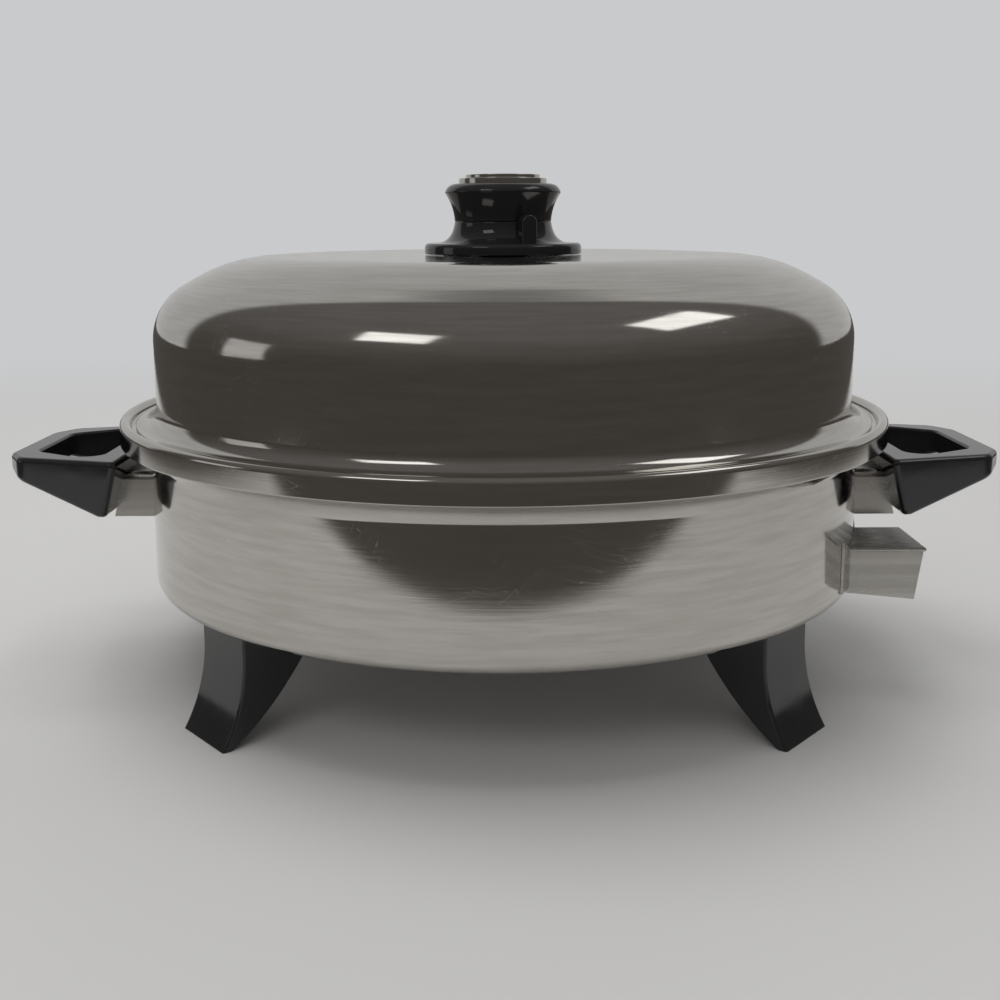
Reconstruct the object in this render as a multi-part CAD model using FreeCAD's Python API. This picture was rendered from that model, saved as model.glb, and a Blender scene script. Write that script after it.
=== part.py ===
import FreeCAD, Part
import math
import os

from FreeCAD import Rotation, Vector

# Round electric skillet: a stainless pan in a stainless body on four moulded legs, with two loop
# handles, a socket for a plug-in heat control and a loose domed lid whose knob has a turning vent.
# Millimetres. +Z is up, the origin is on the pan's axis at the floor, +X points to the socket side.

# Cooking pan and its folded rim
PAN_RADIUS = 139.2
PAN_SHEET = 1.2
PAN_FLOOR_BEND = 6.0
TROUGH_WIDTH = 11.9
TROUGH_DEPTH = 3.2
TROUGH_BEND = 2.6
LIP_FOOT_BEND = 0.9
LIP_WIDTH = 4.4
BAND_HEIGHT = 9.3

# Outer body shell
SHELL_GAP = 2.6
SHELL_SHEET = 1.0
SHELL_CORNER_BEND = 4.0
BODY_DEPTH = 67.0
HEATER_CLEARANCE = 5.2
COVE_BEND = 8.0
FLANGE_DROP = 0.7
FLANGE_BEND = 1.3
FLANGE_TURN_UP = 5.0
SEAM_PLAY = 0.1

# Legs
LEG_HEIGHT = 43.5
LEG_WIDTH = 31.0
LEG_ROOT_DEPTH = 35.0
LEG_INSET = 10.0
LEG_TOE_REACH = 9.5
LEG_TOE_DEPTH = 4.5
LEG_STRAIGHT = 11.0
LEG_KNEE_DROP = 15.7
LEG_KNEE_REACH = 11.0
LEG_BACK_HOLLOW = 1.8
LEG_EDGE_ROUND = 1.0
LEG_AZIMUTH = 40.0
LEG_STUD_RADIUS = 2.5
LEG_STUD_DEPTH = 13.0
LEG_STUD_SPACING = 15.0
LEG_STUD_END = 1.2
LEG_NUT_FLAT = 4.0
LEG_NUT_HEIGHT = 3.5

# Heating parts under the pan
SPREADER_RADIUS = 118.0
SPREADER_THICKNESS = 3.0
ELEMENT_RADIUS = 3.3
ELEMENT_RING_INSET = 25.0
ELEMENT_TURN_RADIUS = 12.0

# Socket for the heat control
SOCKET_Y = -44.75
SOCKET_ROOT_DEPTH = 30.0
PIN_SPACING = 17.0
PIN_RADIUS = 2.3
PIN_REACH = 12.0
PIN_ROOT_RADIUS = 1.7
PIN_STEP_OUT = 0.6
PIN_ROOT_LENGTH = 9.0
BUSHING_RADIUS = 4.4
BUSHING_SEAT = 4.0
PROBE_TUBE_RADIUS = 3.5
PROBE_TUBE_WALL = 0.7
PROBE_TUBE_OVERLAP = 26.0
PROBE_TUBE_REACH = 1.5
BLOCK_REACH = 2.0
BLOCK_PLAY = 0.3
SHROUD_WIDTH = 30.5
SHROUD_SHEET = 0.9
SHROUD_RISE = 9.5
SHROUD_FALL = 7.8
SHROUD_BOTTOM_SLOPE = 0.10
SHROUD_REACH = 16.0
SHROUD_END_LEAN = 3.0
SHROUD_HEM = 1.5
SHROUD_HEM_OVERHANG = 1.2
SHROUD_FLANGE = 10.0
SHROUD_FLANGE_RISE = 5.0
SHROUD_FLANGE_LIFT = 2.3
SHROUD_RIVET_RADIUS = 1.6
SOCKET_WINDOW_MARGIN = 2.5

# Handle brackets
BRACKET_HALF_WIDTH = 32.0
BRACKET_TOP_DROP = 23.0
BRACKET_HEIGHT = 18.0
BRACKET_SHEET = 1.2
BRACKET_BEND = 3.0
BRACKET_REACH = 6.5
RIVET_RADIUS = 2.0
RIVET_HEAD_RADIUS = 3.4
RIVET_HEAD_HEIGHT = 1.2
RIVET_SPACING = 44.0

# Handle grips
GRIP_LENGTH = 49.5
GRIP_TOP_DROP = 16.2
GRIP_ROOT_HEIGHT = 22.4
GRIP_TIP_HEIGHT = 6.3
GRIP_FACE_LEAN = 5.5
GRIP_HEEL = 3.4
GRIP_HEEL_ROUND = 2.2
GRIP_ROOT_HALF_WIDTH = 47.5
GRIP_SHOULDER_HALF_WIDTH = 36.0
GRIP_TIP_HALF_WIDTH = 24.0
GRIP_SHOULDER_INSET = 7.0
GRIP_SHOULDER_ROUND = 8.0
GRIP_EDGE_ROUND = 2.0
HOLE_EDGE_ROUND = 1.2
HOLE_ROOT_BAR = 10.5
HOLE_TIP_BAR = 10.0
HOLE_ROOT_HALF_WIDTH = 33.5
HOLE_TIP_HALF_WIDTH = 21.0
HOLE_SIDE_LENGTH = 11.0
HOLE_SIDE_DRAW = 1.0
HOLE_ROUND = 6.5
SCREW_RADIUS = 2.0
SCREW_HEAD_RADIUS = 3.8
SCREW_HEAD_HEIGHT = 2.4
SCREW_SPACING = 20.0
SCREW_DROP = 12.5
INSERT_RADIUS = 3.2
INSERT_LENGTH = 6.5

# Lid
LID_HEIGHT = 62.0
LID_SHEET = 1.0
LID_OVERHANG = 2.1
LID_CROWN_RADIUS = 100.0
LID_SHOULDER_ANGLE = 28.7
LID_CROWN_BEND = 12.0
LID_SHOULDER_BEND = 16.0
LID_FLARE_BEND = 6.5
LID_EDGE_PLAY = 1.8
LID_SEAT_PLAY = 0.2

# Knob and steam vent on the lid
COLLAR_RADIUS = 32.3
COLLAR_EDGE_HEIGHT = 2.8
COLLAR_SHOULDER_INSET = 1.4
COLLAR_SHOULDER_HEIGHT = 4.7
COLLAR_HEIGHT = 13.3
WAIST_RADIUS = 19.9
COLLAR_HOLLOW = 3.6
KNOB_RADIUS = 23.8
KNOB_WIDEST_HEIGHT = 25.1
KNOB_HEIGHT = 28.6
KNOB_TOP_RADIUS = 19.0
KNOB_FLANK_HOLLOW = 0.9
KNOB_HUB_RADIUS = 9.0
TURN_PLAY = 0.3
HUB_PLAY = 0.05
TAB_WIDTH = 6.3
TAB_INNER_RADIUS = 21.8
TAB_OUTER_RADIUS = 26.8
TAB_HEIGHT = 16.0
TAB_AZIMUTH = -66.4
CAP_RADIUS = 18.0
CAP_STEP_RADIUS = 15.2
CAP_HEIGHT = 3.6
CAP_STEP_HEIGHT = 1.5
CAP_SEAT_DEPTH = 1.0
KNOB_INSERT_RADIUS = 4.5
KNOB_INSERT_LENGTH = 12.0
KNOB_BOLT_RADIUS = 2.5
KNOB_BOLT_LENGTH = 16.0
KNOB_BOLT_HEAD_RADIUS = 5.5
KNOB_BOLT_HEAD_HEIGHT = 3.0
WASHER_RADIUS = 9.5
WASHER_THICKNESS = 1.2
SHUTTER_RADIUS = 25.0
SHUTTER_THICKNESS = 0.8
VENT_HOLE_RADIUS = 2.2
VENT_HOLE_CIRCLE = 14.6
VENT_HOLE_COUNT = 3
VENT_TURN = 45.0
STEAM_CHAMBER_HEIGHT = 9.0
STEAM_CHAMBER_WALL = 2.8
STEAM_OUTLET_RADIUS = 1.5

# Fits shared by fasteners
FASTENER_PLAY = 0.05
THROUGH_HOLE_PLAY = 0.3

# Heights above the floor
SHELL_BOTTOM = LEG_HEIGHT
RIM_TOP = SHELL_BOTTOM + BODY_DEPTH
HEATER_DEPTH = SPREADER_THICKNESS + 2.0 * ELEMENT_RADIUS + HEATER_CLEARANCE
PAN_DEPTH = BODY_DEPTH - SHELL_SHEET - HEATER_DEPTH - PAN_SHEET
TROUGH_FLOOR = RIM_TOP - TROUGH_DEPTH
PAN_FLOOR = RIM_TOP - PAN_DEPTH
SPREADER_TOP = PAN_FLOOR - PAN_SHEET
SPREADER_BOTTOM = SPREADER_TOP - SPREADER_THICKNESS
ELEMENT_HEIGHT = SPREADER_BOTTOM - ELEMENT_RADIUS
SHROUD_TOP = ELEMENT_HEIGHT + SHROUD_RISE
SHROUD_BOTTOM = ELEMENT_HEIGHT - SHROUD_FALL
LID_TOP = RIM_TOP + LID_HEIGHT

# Radii from the pan outwards
LIP_INNER_RADIUS = PAN_RADIUS + TROUGH_WIDTH
RIM_RADIUS = LIP_INNER_RADIUS + LIP_WIDTH
SHELL_RADIUS = PAN_RADIUS + PAN_SHEET + SHELL_GAP + SHELL_SHEET
LID_WALL_RADIUS = PAN_RADIUS + LID_OVERHANG
LID_EDGE_RADIUS = LIP_INNER_RADIUS - LID_EDGE_PLAY

# Places along X
GRIP_ROOT_X = SHELL_RADIUS + BRACKET_REACH
GRIP_TIP_X = GRIP_ROOT_X + GRIP_LENGTH
BLOCK_FACE_X = SHELL_RADIUS + BLOCK_REACH
SOCKET_ROOT_X = SHELL_RADIUS - SOCKET_ROOT_DEPTH

UP = Vector(0, 0, 1)
OUT = Vector(1, 0, 0)
ORIGIN = Vector(0, 0, 0)


def in_section(r, z):
    """A point of the upright plane through the axis."""
    return Vector(r, 0, z)


def in_plan(x, y):
    """A point of the floor plane."""
    return Vector(x, y, 0)


def corner_edges(corners, to_space, closed):
    """Straight edges joined by tangent arcs. Each corner is (a, b, bend radius)."""
    points = [to_space(corner[0], corner[1]) for corner in corners]
    count = len(points)
    entries = []
    for index, corner in enumerate(corners):
        radius = corner[2]
        at_end = not closed and index in (0, count - 1)
        if at_end or radius <= 0.0:
            entries.append((points[index], None, points[index]))
            continue
        here = points[index]
        back = (points[index - 1] - here).normalize()
        ahead = (points[(index + 1) % count] - here).normalize()
        half_angle = back.getAngle(ahead) / 2.0
        reach = radius / math.tan(half_angle)
        inward = (back + ahead).normalize()
        middle = here + inward * (radius / math.sin(half_angle) - radius)
        entries.append((here + back * reach, middle, here + ahead * reach))
    edges = []
    for index, (start, middle, end) in enumerate(entries):
        if middle is not None:
            edges.append(Part.Arc(start, middle, end).toShape())
        if closed or index < count - 1:
            following = entries[(index + 1) % count][0]
            if end.distanceToPoint(following) > 1e-6:
                edges.append(Part.LineSegment(end, following).toShape())
    return edges


def outline_face(corners, to_space):
    """Face inside a closed outline with rounded corners."""
    return Part.Face(Part.Wire(corner_edges(corners, to_space, True)))


def offset_path(corners, distance):
    """The same bent path moved to its left, with its bend radii changed to match."""
    moved = []
    last = len(corners) - 1
    for index, (a, b, radius) in enumerate(corners):
        normals = []
        for start, end in ((index - 1, index), (index, index + 1)):
            if start < 0 or end > last:
                continue
            step_a = corners[end][0] - corners[start][0]
            step_b = corners[end][1] - corners[start][1]
            length = math.hypot(step_a, step_b)
            normals.append((-step_b / length, step_a / length))
        if len(normals) == 1:
            normals.append(normals[0])
        (first_a, first_b), (second_a, second_b) = normals
        scale = distance / (1.0 + first_a * second_a + first_b * second_b)
        turn = first_a * second_b - first_b * second_a
        bend = 0.0
        if radius > 0.0:
            bend = radius - math.copysign(distance, turn * distance)
        moved.append((a + scale * (first_a + second_a), b + scale * (first_b + second_b), bend))
    return moved


def bent_sheet(corners, thickness):
    """Solid of revolution of a sheet: its seen face follows the corners, thickness goes to their left."""
    seen = corner_edges(corners, in_section, False)
    hidden_corners = offset_path(corners, thickness)
    hidden = corner_edges(hidden_corners, in_section, False)
    start = Part.LineSegment(in_section(*hidden_corners[0][:2]), in_section(*corners[0][:2]))
    end = Part.LineSegment(in_section(*corners[-1][:2]), in_section(*hidden_corners[-1][:2]))
    edges = seen + [end.toShape()] + hidden + [start.toShape()]
    section = Part.Face(Part.Wire(Part.__sortEdges__(edges)))
    return section.revolve(ORIGIN, UP, 360)


def turned(corners):
    """Solid of revolution about the pan's axis of a closed (r, z, bend) outline."""
    return outline_face(corners, in_section).revolve(ORIGIN, UP, 360)


def rod(radius, start, end):
    """Round bar between two points."""
    along = end - start
    return Part.makeCylinder(radius, along.Length, start, along)


def domed_rod(radius, start, end, tip_round):
    """Round bar whose far edge is rounded."""
    bar = rod(radius, start, end)
    tip = [edge for edge in bar.Edges if edge.Closed and edge.CenterOfMass.distanceToPoint(end) < 1e-6]
    return bar.makeFillet(tip_round, tip)


def box_between(low, high):
    """Plain box between two corners."""
    size = high - low
    return Part.makeBox(size.x, size.y, size.z, low)


def about_axis(shape, degrees):
    """Copy of a shape turned about the pan's axis."""
    copy = shape.copy()
    copy.rotate(ORIGIN, UP, degrees)
    return copy


def other_side(shape):
    """Copy of a right-hand piece on the left, turned half a turn about the axis."""
    return about_axis(shape, 180.0)


def inner_pan():
    """Cooking pan: floor, wall, lid trough and a lip folded over into the rim band."""
    seen = [
        (0.0, PAN_FLOOR, 0.0),
        (PAN_RADIUS, PAN_FLOOR, PAN_FLOOR_BEND),
        (PAN_RADIUS, TROUGH_FLOOR, TROUGH_BEND),
        (LIP_INNER_RADIUS, TROUGH_FLOOR, LIP_FOOT_BEND),
        (LIP_INNER_RADIUS, RIM_TOP, LIP_WIDTH / 2.0),
        (RIM_RADIUS, RIM_TOP, LIP_WIDTH / 2.0),
        (RIM_RADIUS, RIM_TOP - BAND_HEIGHT, 0.0),
    ]
    return bent_sheet(seen, -PAN_SHEET)


def leg_azimuths():
    """Direction of each leg from the axis, by name."""
    return {
        "front_left_leg": LEG_AZIMUTH - 180.0,
        "front_right_leg": -LEG_AZIMUTH,
        "rear_left_leg": 180.0 - LEG_AZIMUTH,
        "rear_right_leg": LEG_AZIMUTH,
    }


def leg_stud_places():
    """Plan points of the two studs of each leg."""
    radius = SHELL_RADIUS - LEG_INSET - LEG_ROOT_DEPTH / 2.0
    places = []
    for azimuth in leg_azimuths().values():
        turn = Rotation(UP, azimuth)
        for side in (-0.5, 0.5):
            places.append(turn.multVec(Vector(radius, side * LEG_STUD_SPACING, 0)))
    return places


def bracket_rivet_frames():
    """Start point and outward direction of each bracket rivet, on the shell's inner face."""
    height = RIM_TOP - BRACKET_TOP_DROP - BRACKET_HEIGHT / 2.0
    angle = math.degrees(math.asin(RIVET_SPACING / 2.0 / SHELL_RADIUS))
    frames = []
    for facing in (0.0, 180.0):
        for side in (-angle, angle):
            direction = Rotation(UP, facing + side).multVec(OUT)
            frames.append((direction * (SHELL_RADIUS - SHELL_SHEET) + UP * height, direction))
    return frames


def shroud_flange_angle(offset):
    """Azimuth on the shell of a line at the given distance in Y from the socket's middle."""
    return math.degrees(math.asin((SOCKET_Y + offset) / SHELL_RADIUS))


def shroud_rivet_frames():
    """Start point and outward direction of each shroud rivet, on the shell's inner face."""
    height = (SHROUD_TOP + SHROUD_BOTTOM) / 2.0
    reach = SHROUD_WIDTH / 2.0 + SHROUD_FLANGE / 2.0
    frames = []
    for offset in (-reach, reach):
        direction = Rotation(UP, shroud_flange_angle(offset)).multVec(OUT)
        frames.append((direction * (SHELL_RADIUS - SHELL_SHEET) + UP * height, direction))
    return frames


def outer_shell():
    """Body shell: flat base, straight wall, cove under the rim and an edge crimped inside the band."""
    flange_height = RIM_TOP - BAND_HEIGHT - FLANGE_DROP
    edge_radius = RIM_RADIUS - PAN_SHEET - SEAM_PLAY
    seen = [
        (0.0, SHELL_BOTTOM, 0.0),
        (SHELL_RADIUS, SHELL_BOTTOM, SHELL_CORNER_BEND),
        (SHELL_RADIUS, flange_height, COVE_BEND),
        (edge_radius, flange_height, FLANGE_BEND),
        (edge_radius, flange_height + FLANGE_TURN_UP, 0.0),
    ]
    shell = bent_sheet(seen, SHELL_SHEET)
    openings = [socket_window()]
    for place in leg_stud_places():
        base = place + UP * SHELL_BOTTOM
        openings.append(rod(LEG_STUD_RADIUS + THROUGH_HOLE_PLAY, base - UP, base + UP * 2.0))
    for start, direction in bracket_rivet_frames():
        openings.append(rod(RIVET_RADIUS + FASTENER_PLAY, start - direction, start + direction * 3.0))
    for start, direction in shroud_rivet_frames():
        hole = rod(SHROUD_RIVET_RADIUS + FASTENER_PLAY, start - direction, start + direction * 3.0)
        openings.append(hole)
    return shell.cut(openings)


def socket_window():
    """Opening in the shell's wall for the pins and the probe tube."""
    half_width = PIN_SPACING / 2.0 + BUSHING_RADIUS + SOCKET_WINDOW_MARGIN / 2.0
    half_height = BUSHING_RADIUS + SOCKET_WINDOW_MARGIN / 2.0
    low = Vector(SOCKET_ROOT_X, SOCKET_Y - half_width, ELEMENT_HEIGHT - half_height)
    high = Vector(SHELL_RADIUS + 2.0, SOCKET_Y + half_width, ELEMENT_HEIGHT + half_height)
    return box_between(low, high)


def heat_spreader():
    """Aluminium disc bonded under the pan's floor."""
    edge_round = SPREADER_THICKNESS / 3.0
    return turned([
        (0.0, SPREADER_BOTTOM, 0.0),
        (SPREADER_RADIUS, SPREADER_BOTTOM, edge_round),
        (SPREADER_RADIUS, SPREADER_TOP, 0.0),
        (0.0, SPREADER_TOP, 0.0),
    ])


def pin_places():
    """Y of the far and near terminal pins."""
    return (SOCKET_Y + PIN_SPACING / 2.0, SOCKET_Y - PIN_SPACING / 2.0)


def sheath_end_x(y):
    """X where the element's sheath stops and its pin goes on, just inside the shell's wall."""
    return math.sqrt(SHELL_RADIUS ** 2 - y ** 2) - SHELL_SHEET - PIN_ROOT_LENGTH / 2.0


def heating_element():
    """Sheathed heater: an open ring under the spreader with two straight ends to the socket."""
    ring = SPREADER_RADIUS - ELEMENT_RING_INSET
    turn = ELEMENT_TURN_RADIUS
    far_y, near_y = pin_places()
    far_centre = Vector(math.sqrt((ring + turn) ** 2 - (far_y + turn) ** 2), far_y + turn, 0)
    near_centre = Vector(math.sqrt((ring + turn) ** 2 - (near_y - turn) ** 2), near_y - turn, 0)
    far_meet = far_centre * (ring / (ring + turn))
    near_meet = near_centre * (ring / (ring + turn))
    far_foot = Vector(far_centre.x, far_y, 0)
    near_foot = Vector(near_centre.x, near_y, 0)
    far_start = Vector(sheath_end_x(far_y), far_y, 0)
    near_end = Vector(sheath_end_x(near_y), near_y, 0)

    def arc_middle(centre, start, end):
        return centre + ((start - centre) + (end - centre)).normalize() * turn

    path = Part.Wire([
        Part.LineSegment(far_start, far_foot).toShape(),
        Part.Arc(far_foot, arc_middle(far_centre, far_foot, far_meet), far_meet).toShape(),
        Part.Arc(far_meet, Vector(-ring, 0, 0), near_meet).toShape(),
        Part.Arc(near_meet, arc_middle(near_centre, near_meet, near_foot), near_foot).toShape(),
        Part.LineSegment(near_foot, near_end).toShape(),
    ])
    section = Part.Wire(Part.Circle(far_start, OUT, ELEMENT_RADIUS).toShape())
    element = path.makePipeShell([section], True, False)
    element.translate(UP * ELEMENT_HEIGHT)
    return element


def terminal_pins():
    """Two round pins from the heater's ends out through the block, thicker outside it."""
    pins = []
    for y in pin_places():
        start = Vector(sheath_end_x(y), y, ELEMENT_HEIGHT)
        step = Vector(BLOCK_FACE_X + PIN_STEP_OUT, y, ELEMENT_HEIGHT)
        end = Vector(BLOCK_FACE_X + PIN_REACH, y, ELEMENT_HEIGHT)
        root = rod(PIN_ROOT_RADIUS, start, step)
        pins.append(root.fuse(domed_rod(PIN_RADIUS, step, end, PIN_RADIUS * 0.6)))
    return Part.makeCompound(pins)


def bushing_end_x(y):
    """X where a bushing stops inside the block."""
    return math.sqrt(SHELL_RADIUS ** 2 - y ** 2) + BUSHING_SEAT


def terminal_bushings():
    """Ceramic sleeves round the pins, from the heater's ends into the block."""
    sleeves = []
    for y in pin_places():
        start = Vector(sheath_end_x(y) + FASTENER_PLAY, y, ELEMENT_HEIGHT)
        end = Vector(bushing_end_x(y), y, ELEMENT_HEIGHT)
        outer = rod(BUSHING_RADIUS, start, end)
        bore = rod(PIN_ROOT_RADIUS + FASTENER_PLAY, start - OUT, end + OUT)
        sleeves.append(outer.cut(bore))
    return Part.makeCompound(sleeves)


def shroud_bottom_at(x):
    """Height of the shroud's outer bottom face at x."""
    inner_x = math.sqrt(SHELL_RADIUS ** 2 - (SOCKET_Y - SHROUD_WIDTH / 2.0) ** 2)
    return SHROUD_BOTTOM - SHROUD_BOTTOM_SLOPE * (x - inner_x)


def terminal_block():
    """Insulating block that fills the shroud against the shell and holds the bushings."""
    low_x = SOCKET_ROOT_X
    half_width = SHROUD_WIDTH / 2.0 - SHROUD_SHEET - BLOCK_PLAY
    top = SHROUD_TOP - SHROUD_SHEET - BLOCK_PLAY
    bottom = shroud_bottom_at(low_x) + SHROUD_SHEET + BLOCK_PLAY
    low = Vector(low_x, SOCKET_Y - half_width, bottom)
    high = Vector(BLOCK_FACE_X, SOCKET_Y + half_width, top)
    block = box_between(low, high)
    cuts = [Part.makeCylinder(SHELL_RADIUS + SEAM_PLAY, RIM_TOP)]
    for y in pin_places():
        start = Vector(low_x, y, ELEMENT_HEIGHT)
        cuts.append(rod(PIN_ROOT_RADIUS + FASTENER_PLAY, start, start + OUT * (2.0 * SOCKET_ROOT_DEPTH)))
        seat = Vector(bushing_end_x(y) + FASTENER_PLAY, y, ELEMENT_HEIGHT)
        cuts.append(rod(BUSHING_RADIUS + FASTENER_PLAY, start, seat))
    tube_start = Vector(low_x, SOCKET_Y, SPREADER_BOTTOM - PROBE_TUBE_RADIUS)
    cuts.append(rod(PROBE_TUBE_RADIUS + FASTENER_PLAY, tube_start, tube_start + OUT * (2.0 * SOCKET_ROOT_DEPTH)))
    return block.cut(cuts)


def probe_tube():
    """Blind tube under the spreader that takes the control's probe from the socket."""
    height = SPREADER_BOTTOM - PROBE_TUBE_RADIUS
    mouth = Vector(BLOCK_FACE_X + PROBE_TUBE_REACH, SOCKET_Y, height)
    end = Vector(SPREADER_RADIUS - PROBE_TUBE_OVERLAP, SOCKET_Y, height)
    tube = domed_rod(PROBE_TUBE_RADIUS, mouth, end, PROBE_TUBE_RADIUS * 0.5)
    bore_end = end + OUT * (2.0 * PROBE_TUBE_WALL)
    return tube.cut(rod(PROBE_TUBE_RADIUS - PROBE_TUBE_WALL, mouth + OUT, bore_end))


def shroud_side_outline(inset):
    """Side outline (x, z) of the shroud or, inset by its sheet, of its inside."""
    top = SHROUD_TOP - inset
    low_x = SOCKET_ROOT_X
    end_x = SHELL_RADIUS + SHROUD_REACH
    foot_x = end_x - SHROUD_END_LEAN
    past = 10.0 if inset > 0.0 else 0.0
    lean = SHROUD_END_LEAN / (top - shroud_bottom_at(foot_x)) * past
    return [
        (low_x - past, top, 0.0),
        (end_x + past, top, 0.0),
        (foot_x + past - lean, shroud_bottom_at(foot_x + past) + inset, 0.0),
        (low_x - past, shroud_bottom_at(low_x - past) + inset, 0.0),
    ]


def shroud_flange():
    """Strip that hugs the shell on one side of the shroud, its top edge rising away from it."""
    inner = SHELL_RADIUS + SEAM_PLAY
    height = SHROUD_RISE + SHROUD_FALL + SHROUD_FLANGE_RISE
    bottom = SHROUD_BOTTOM + SHROUD_FLANGE_LIFT
    ring = Part.makeCylinder(inner + SHROUD_SHEET, height, UP * bottom)
    ring = ring.cut(Part.makeCylinder(inner, height, UP * bottom))
    near_side = SOCKET_Y - SHROUD_WIDTH / 2.0
    edge = near_side - SHROUD_FLANGE
    top = SHROUD_TOP
    strip = outline_face([
        (near_side + SHROUD_SHEET, bottom, 0.0),
        (edge, bottom, 0.0),
        (edge, top + SHROUD_FLANGE_RISE, 0.0),
        (near_side, top, 0.0),
        (near_side + SHROUD_SHEET, top, 0.0),
    ], lambda y, z: Vector(0, y, z)).extrude(OUT * RIM_RADIUS)
    return ring.common(strip)


def socket_shroud():
    """Sheet box round the pins, open at its end, with a folded top edge and two wall flanges."""
    half = SHROUD_WIDTH / 2.0
    across = Vector(0, SHROUD_WIDTH, 0)
    outer = outline_face(shroud_side_outline(0.0), in_section).extrude(across)
    outer.translate(Vector(0, SOCKET_Y - half, 0))
    inner_width = SHROUD_WIDTH - 2.0 * SHROUD_SHEET
    hollow = outline_face(shroud_side_outline(SHROUD_SHEET), in_section).extrude(Vector(0, inner_width, 0))
    hollow.translate(Vector(0, SOCKET_Y - inner_width / 2.0, 0))
    box = outer.cut(hollow)
    top = SHROUD_TOP
    hem_half = half + SHROUD_HEM_OVERHANG
    hem = box_between(
        Vector(SOCKET_ROOT_X, SOCKET_Y - hem_half, top - SHROUD_SHEET),
        Vector(SHELL_RADIUS + SHROUD_REACH + SHROUD_SHEET / 2.0, SOCKET_Y + hem_half,
               top - SHROUD_SHEET + SHROUD_HEM),
    )
    hem = hem.makeFillet(SHROUD_HEM * 0.4, [edge for edge in hem.Edges if edge.Length > SHROUD_WIDTH])
    body = box.fuse(hem).cut(Part.makeCylinder(SHELL_RADIUS + SEAM_PLAY, RIM_TOP))
    near = shroud_flange()
    far = near.mirror(Vector(0, 0, 0), Vector(0, 1, 0))
    far = about_axis(far, shroud_flange_angle(half) + shroud_flange_angle(-half))
    body = body.fuse([near, far]).cut(hollow).removeSplitter()
    for start, direction in shroud_rivet_frames():
        body = body.cut(rod(SHROUD_RIVET_RADIUS + FASTENER_PLAY, start, start + direction * 4.0))
    return body


def shroud_rivets():
    """Flush rivets that hold the shroud's flanges to the shell."""
    length = SHELL_SHEET + SEAM_PLAY + SHROUD_SHEET
    rivets = []
    for start, direction in shroud_rivet_frames():
        shank = rod(SHROUD_RIVET_RADIUS, start, start + direction * length)
        head = rod(SHROUD_RIVET_RADIUS * 1.8, start - direction, start - direction * SEAM_PLAY)
        rivets.append(shank.fuse(rod(SHROUD_RIVET_RADIUS, start - direction * 0.5, start)).fuse(head))
    return Part.makeCompound(rivets)


def leg_outline():
    """Side outline (r, z) of a leg: a curve out to the toe in front and a knee at the back."""
    front = SHELL_RADIUS - LEG_INSET
    toe = front + LEG_TOE_REACH
    straight_end = Vector(front, 0, SHELL_BOTTOM - LEG_STRAIGHT)
    toe_point = Vector(toe, 0, 0)
    chord = toe_point - straight_end
    lean = math.atan2(chord.x, -chord.z)
    sweep_radius = chord.Length / (2.0 * math.sin(lean))
    sweep_centre = straight_end + OUT * sweep_radius
    middle_angle = math.pi + lean
    sweep_middle = sweep_centre + Vector(math.cos(middle_angle), 0, math.sin(middle_angle)) * sweep_radius
    heel = Vector(toe - LEG_TOE_DEPTH, 0, 0)
    root = Vector(front - LEG_ROOT_DEPTH, 0, SHELL_BOTTOM)
    knee = root + Vector(LEG_KNEE_REACH, 0, -LEG_KNEE_DROP)
    back = heel - knee
    hollow = Vector(-back.z, 0, back.x).normalize() * LEG_BACK_HOLLOW
    back_middle = knee + back * 0.5 - hollow
    root_front = Vector(front, 0, SHELL_BOTTOM)
    return Part.Wire([
        Part.LineSegment(root_front, straight_end).toShape(),
        Part.Arc(straight_end, sweep_middle, toe_point).toShape(),
        Part.LineSegment(toe_point, heel).toShape(),
        Part.Arc(heel, back_middle, knee).toShape(),
        Part.LineSegment(knee, root).toShape(),
        Part.LineSegment(root, root_front).toShape(),
    ])


def leg(azimuth):
    """Moulded leg with rounded long edges and two sockets for its studs."""
    block = Part.Face(leg_outline()).extrude(Vector(0, LEG_WIDTH, 0))
    block.translate(Vector(0, -LEG_WIDTH / 2.0, 0))
    long_edges = []
    for edge in block.Edges:
        middle = edge.CenterOfMass
        on_side = abs(abs(middle.y) - LEG_WIDTH / 2.0) < 1e-6
        off_ends = 1e-3 < middle.z < SHELL_BOTTOM - 1e-3
        if on_side and off_ends:
            long_edges.append(edge)
    block = block.makeFillet(LEG_EDGE_ROUND, long_edges)
    shaped = about_axis(block, azimuth)
    sockets = []
    for place in leg_stud_places():
        top = place + UP * (SHELL_BOTTOM + 1.0)
        bottom = place + UP * (SHELL_BOTTOM - LEG_STUD_DEPTH - FASTENER_PLAY)
        sockets.append(rod(LEG_STUD_RADIUS + FASTENER_PLAY, bottom, top))
    return shaped.cut(sockets)


def leg_stud_top():
    """Height of the studs' upper ends."""
    return SHELL_BOTTOM + SHELL_SHEET + LEG_NUT_HEIGHT + LEG_STUD_END


def leg_studs():
    """Studs moulded into the legs, up through the shell's base."""
    studs = []
    for place in leg_stud_places():
        bottom = place + UP * (SHELL_BOTTOM - LEG_STUD_DEPTH)
        studs.append(rod(LEG_STUD_RADIUS, bottom, place + UP * leg_stud_top()))
    return Part.makeCompound(studs)


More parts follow.
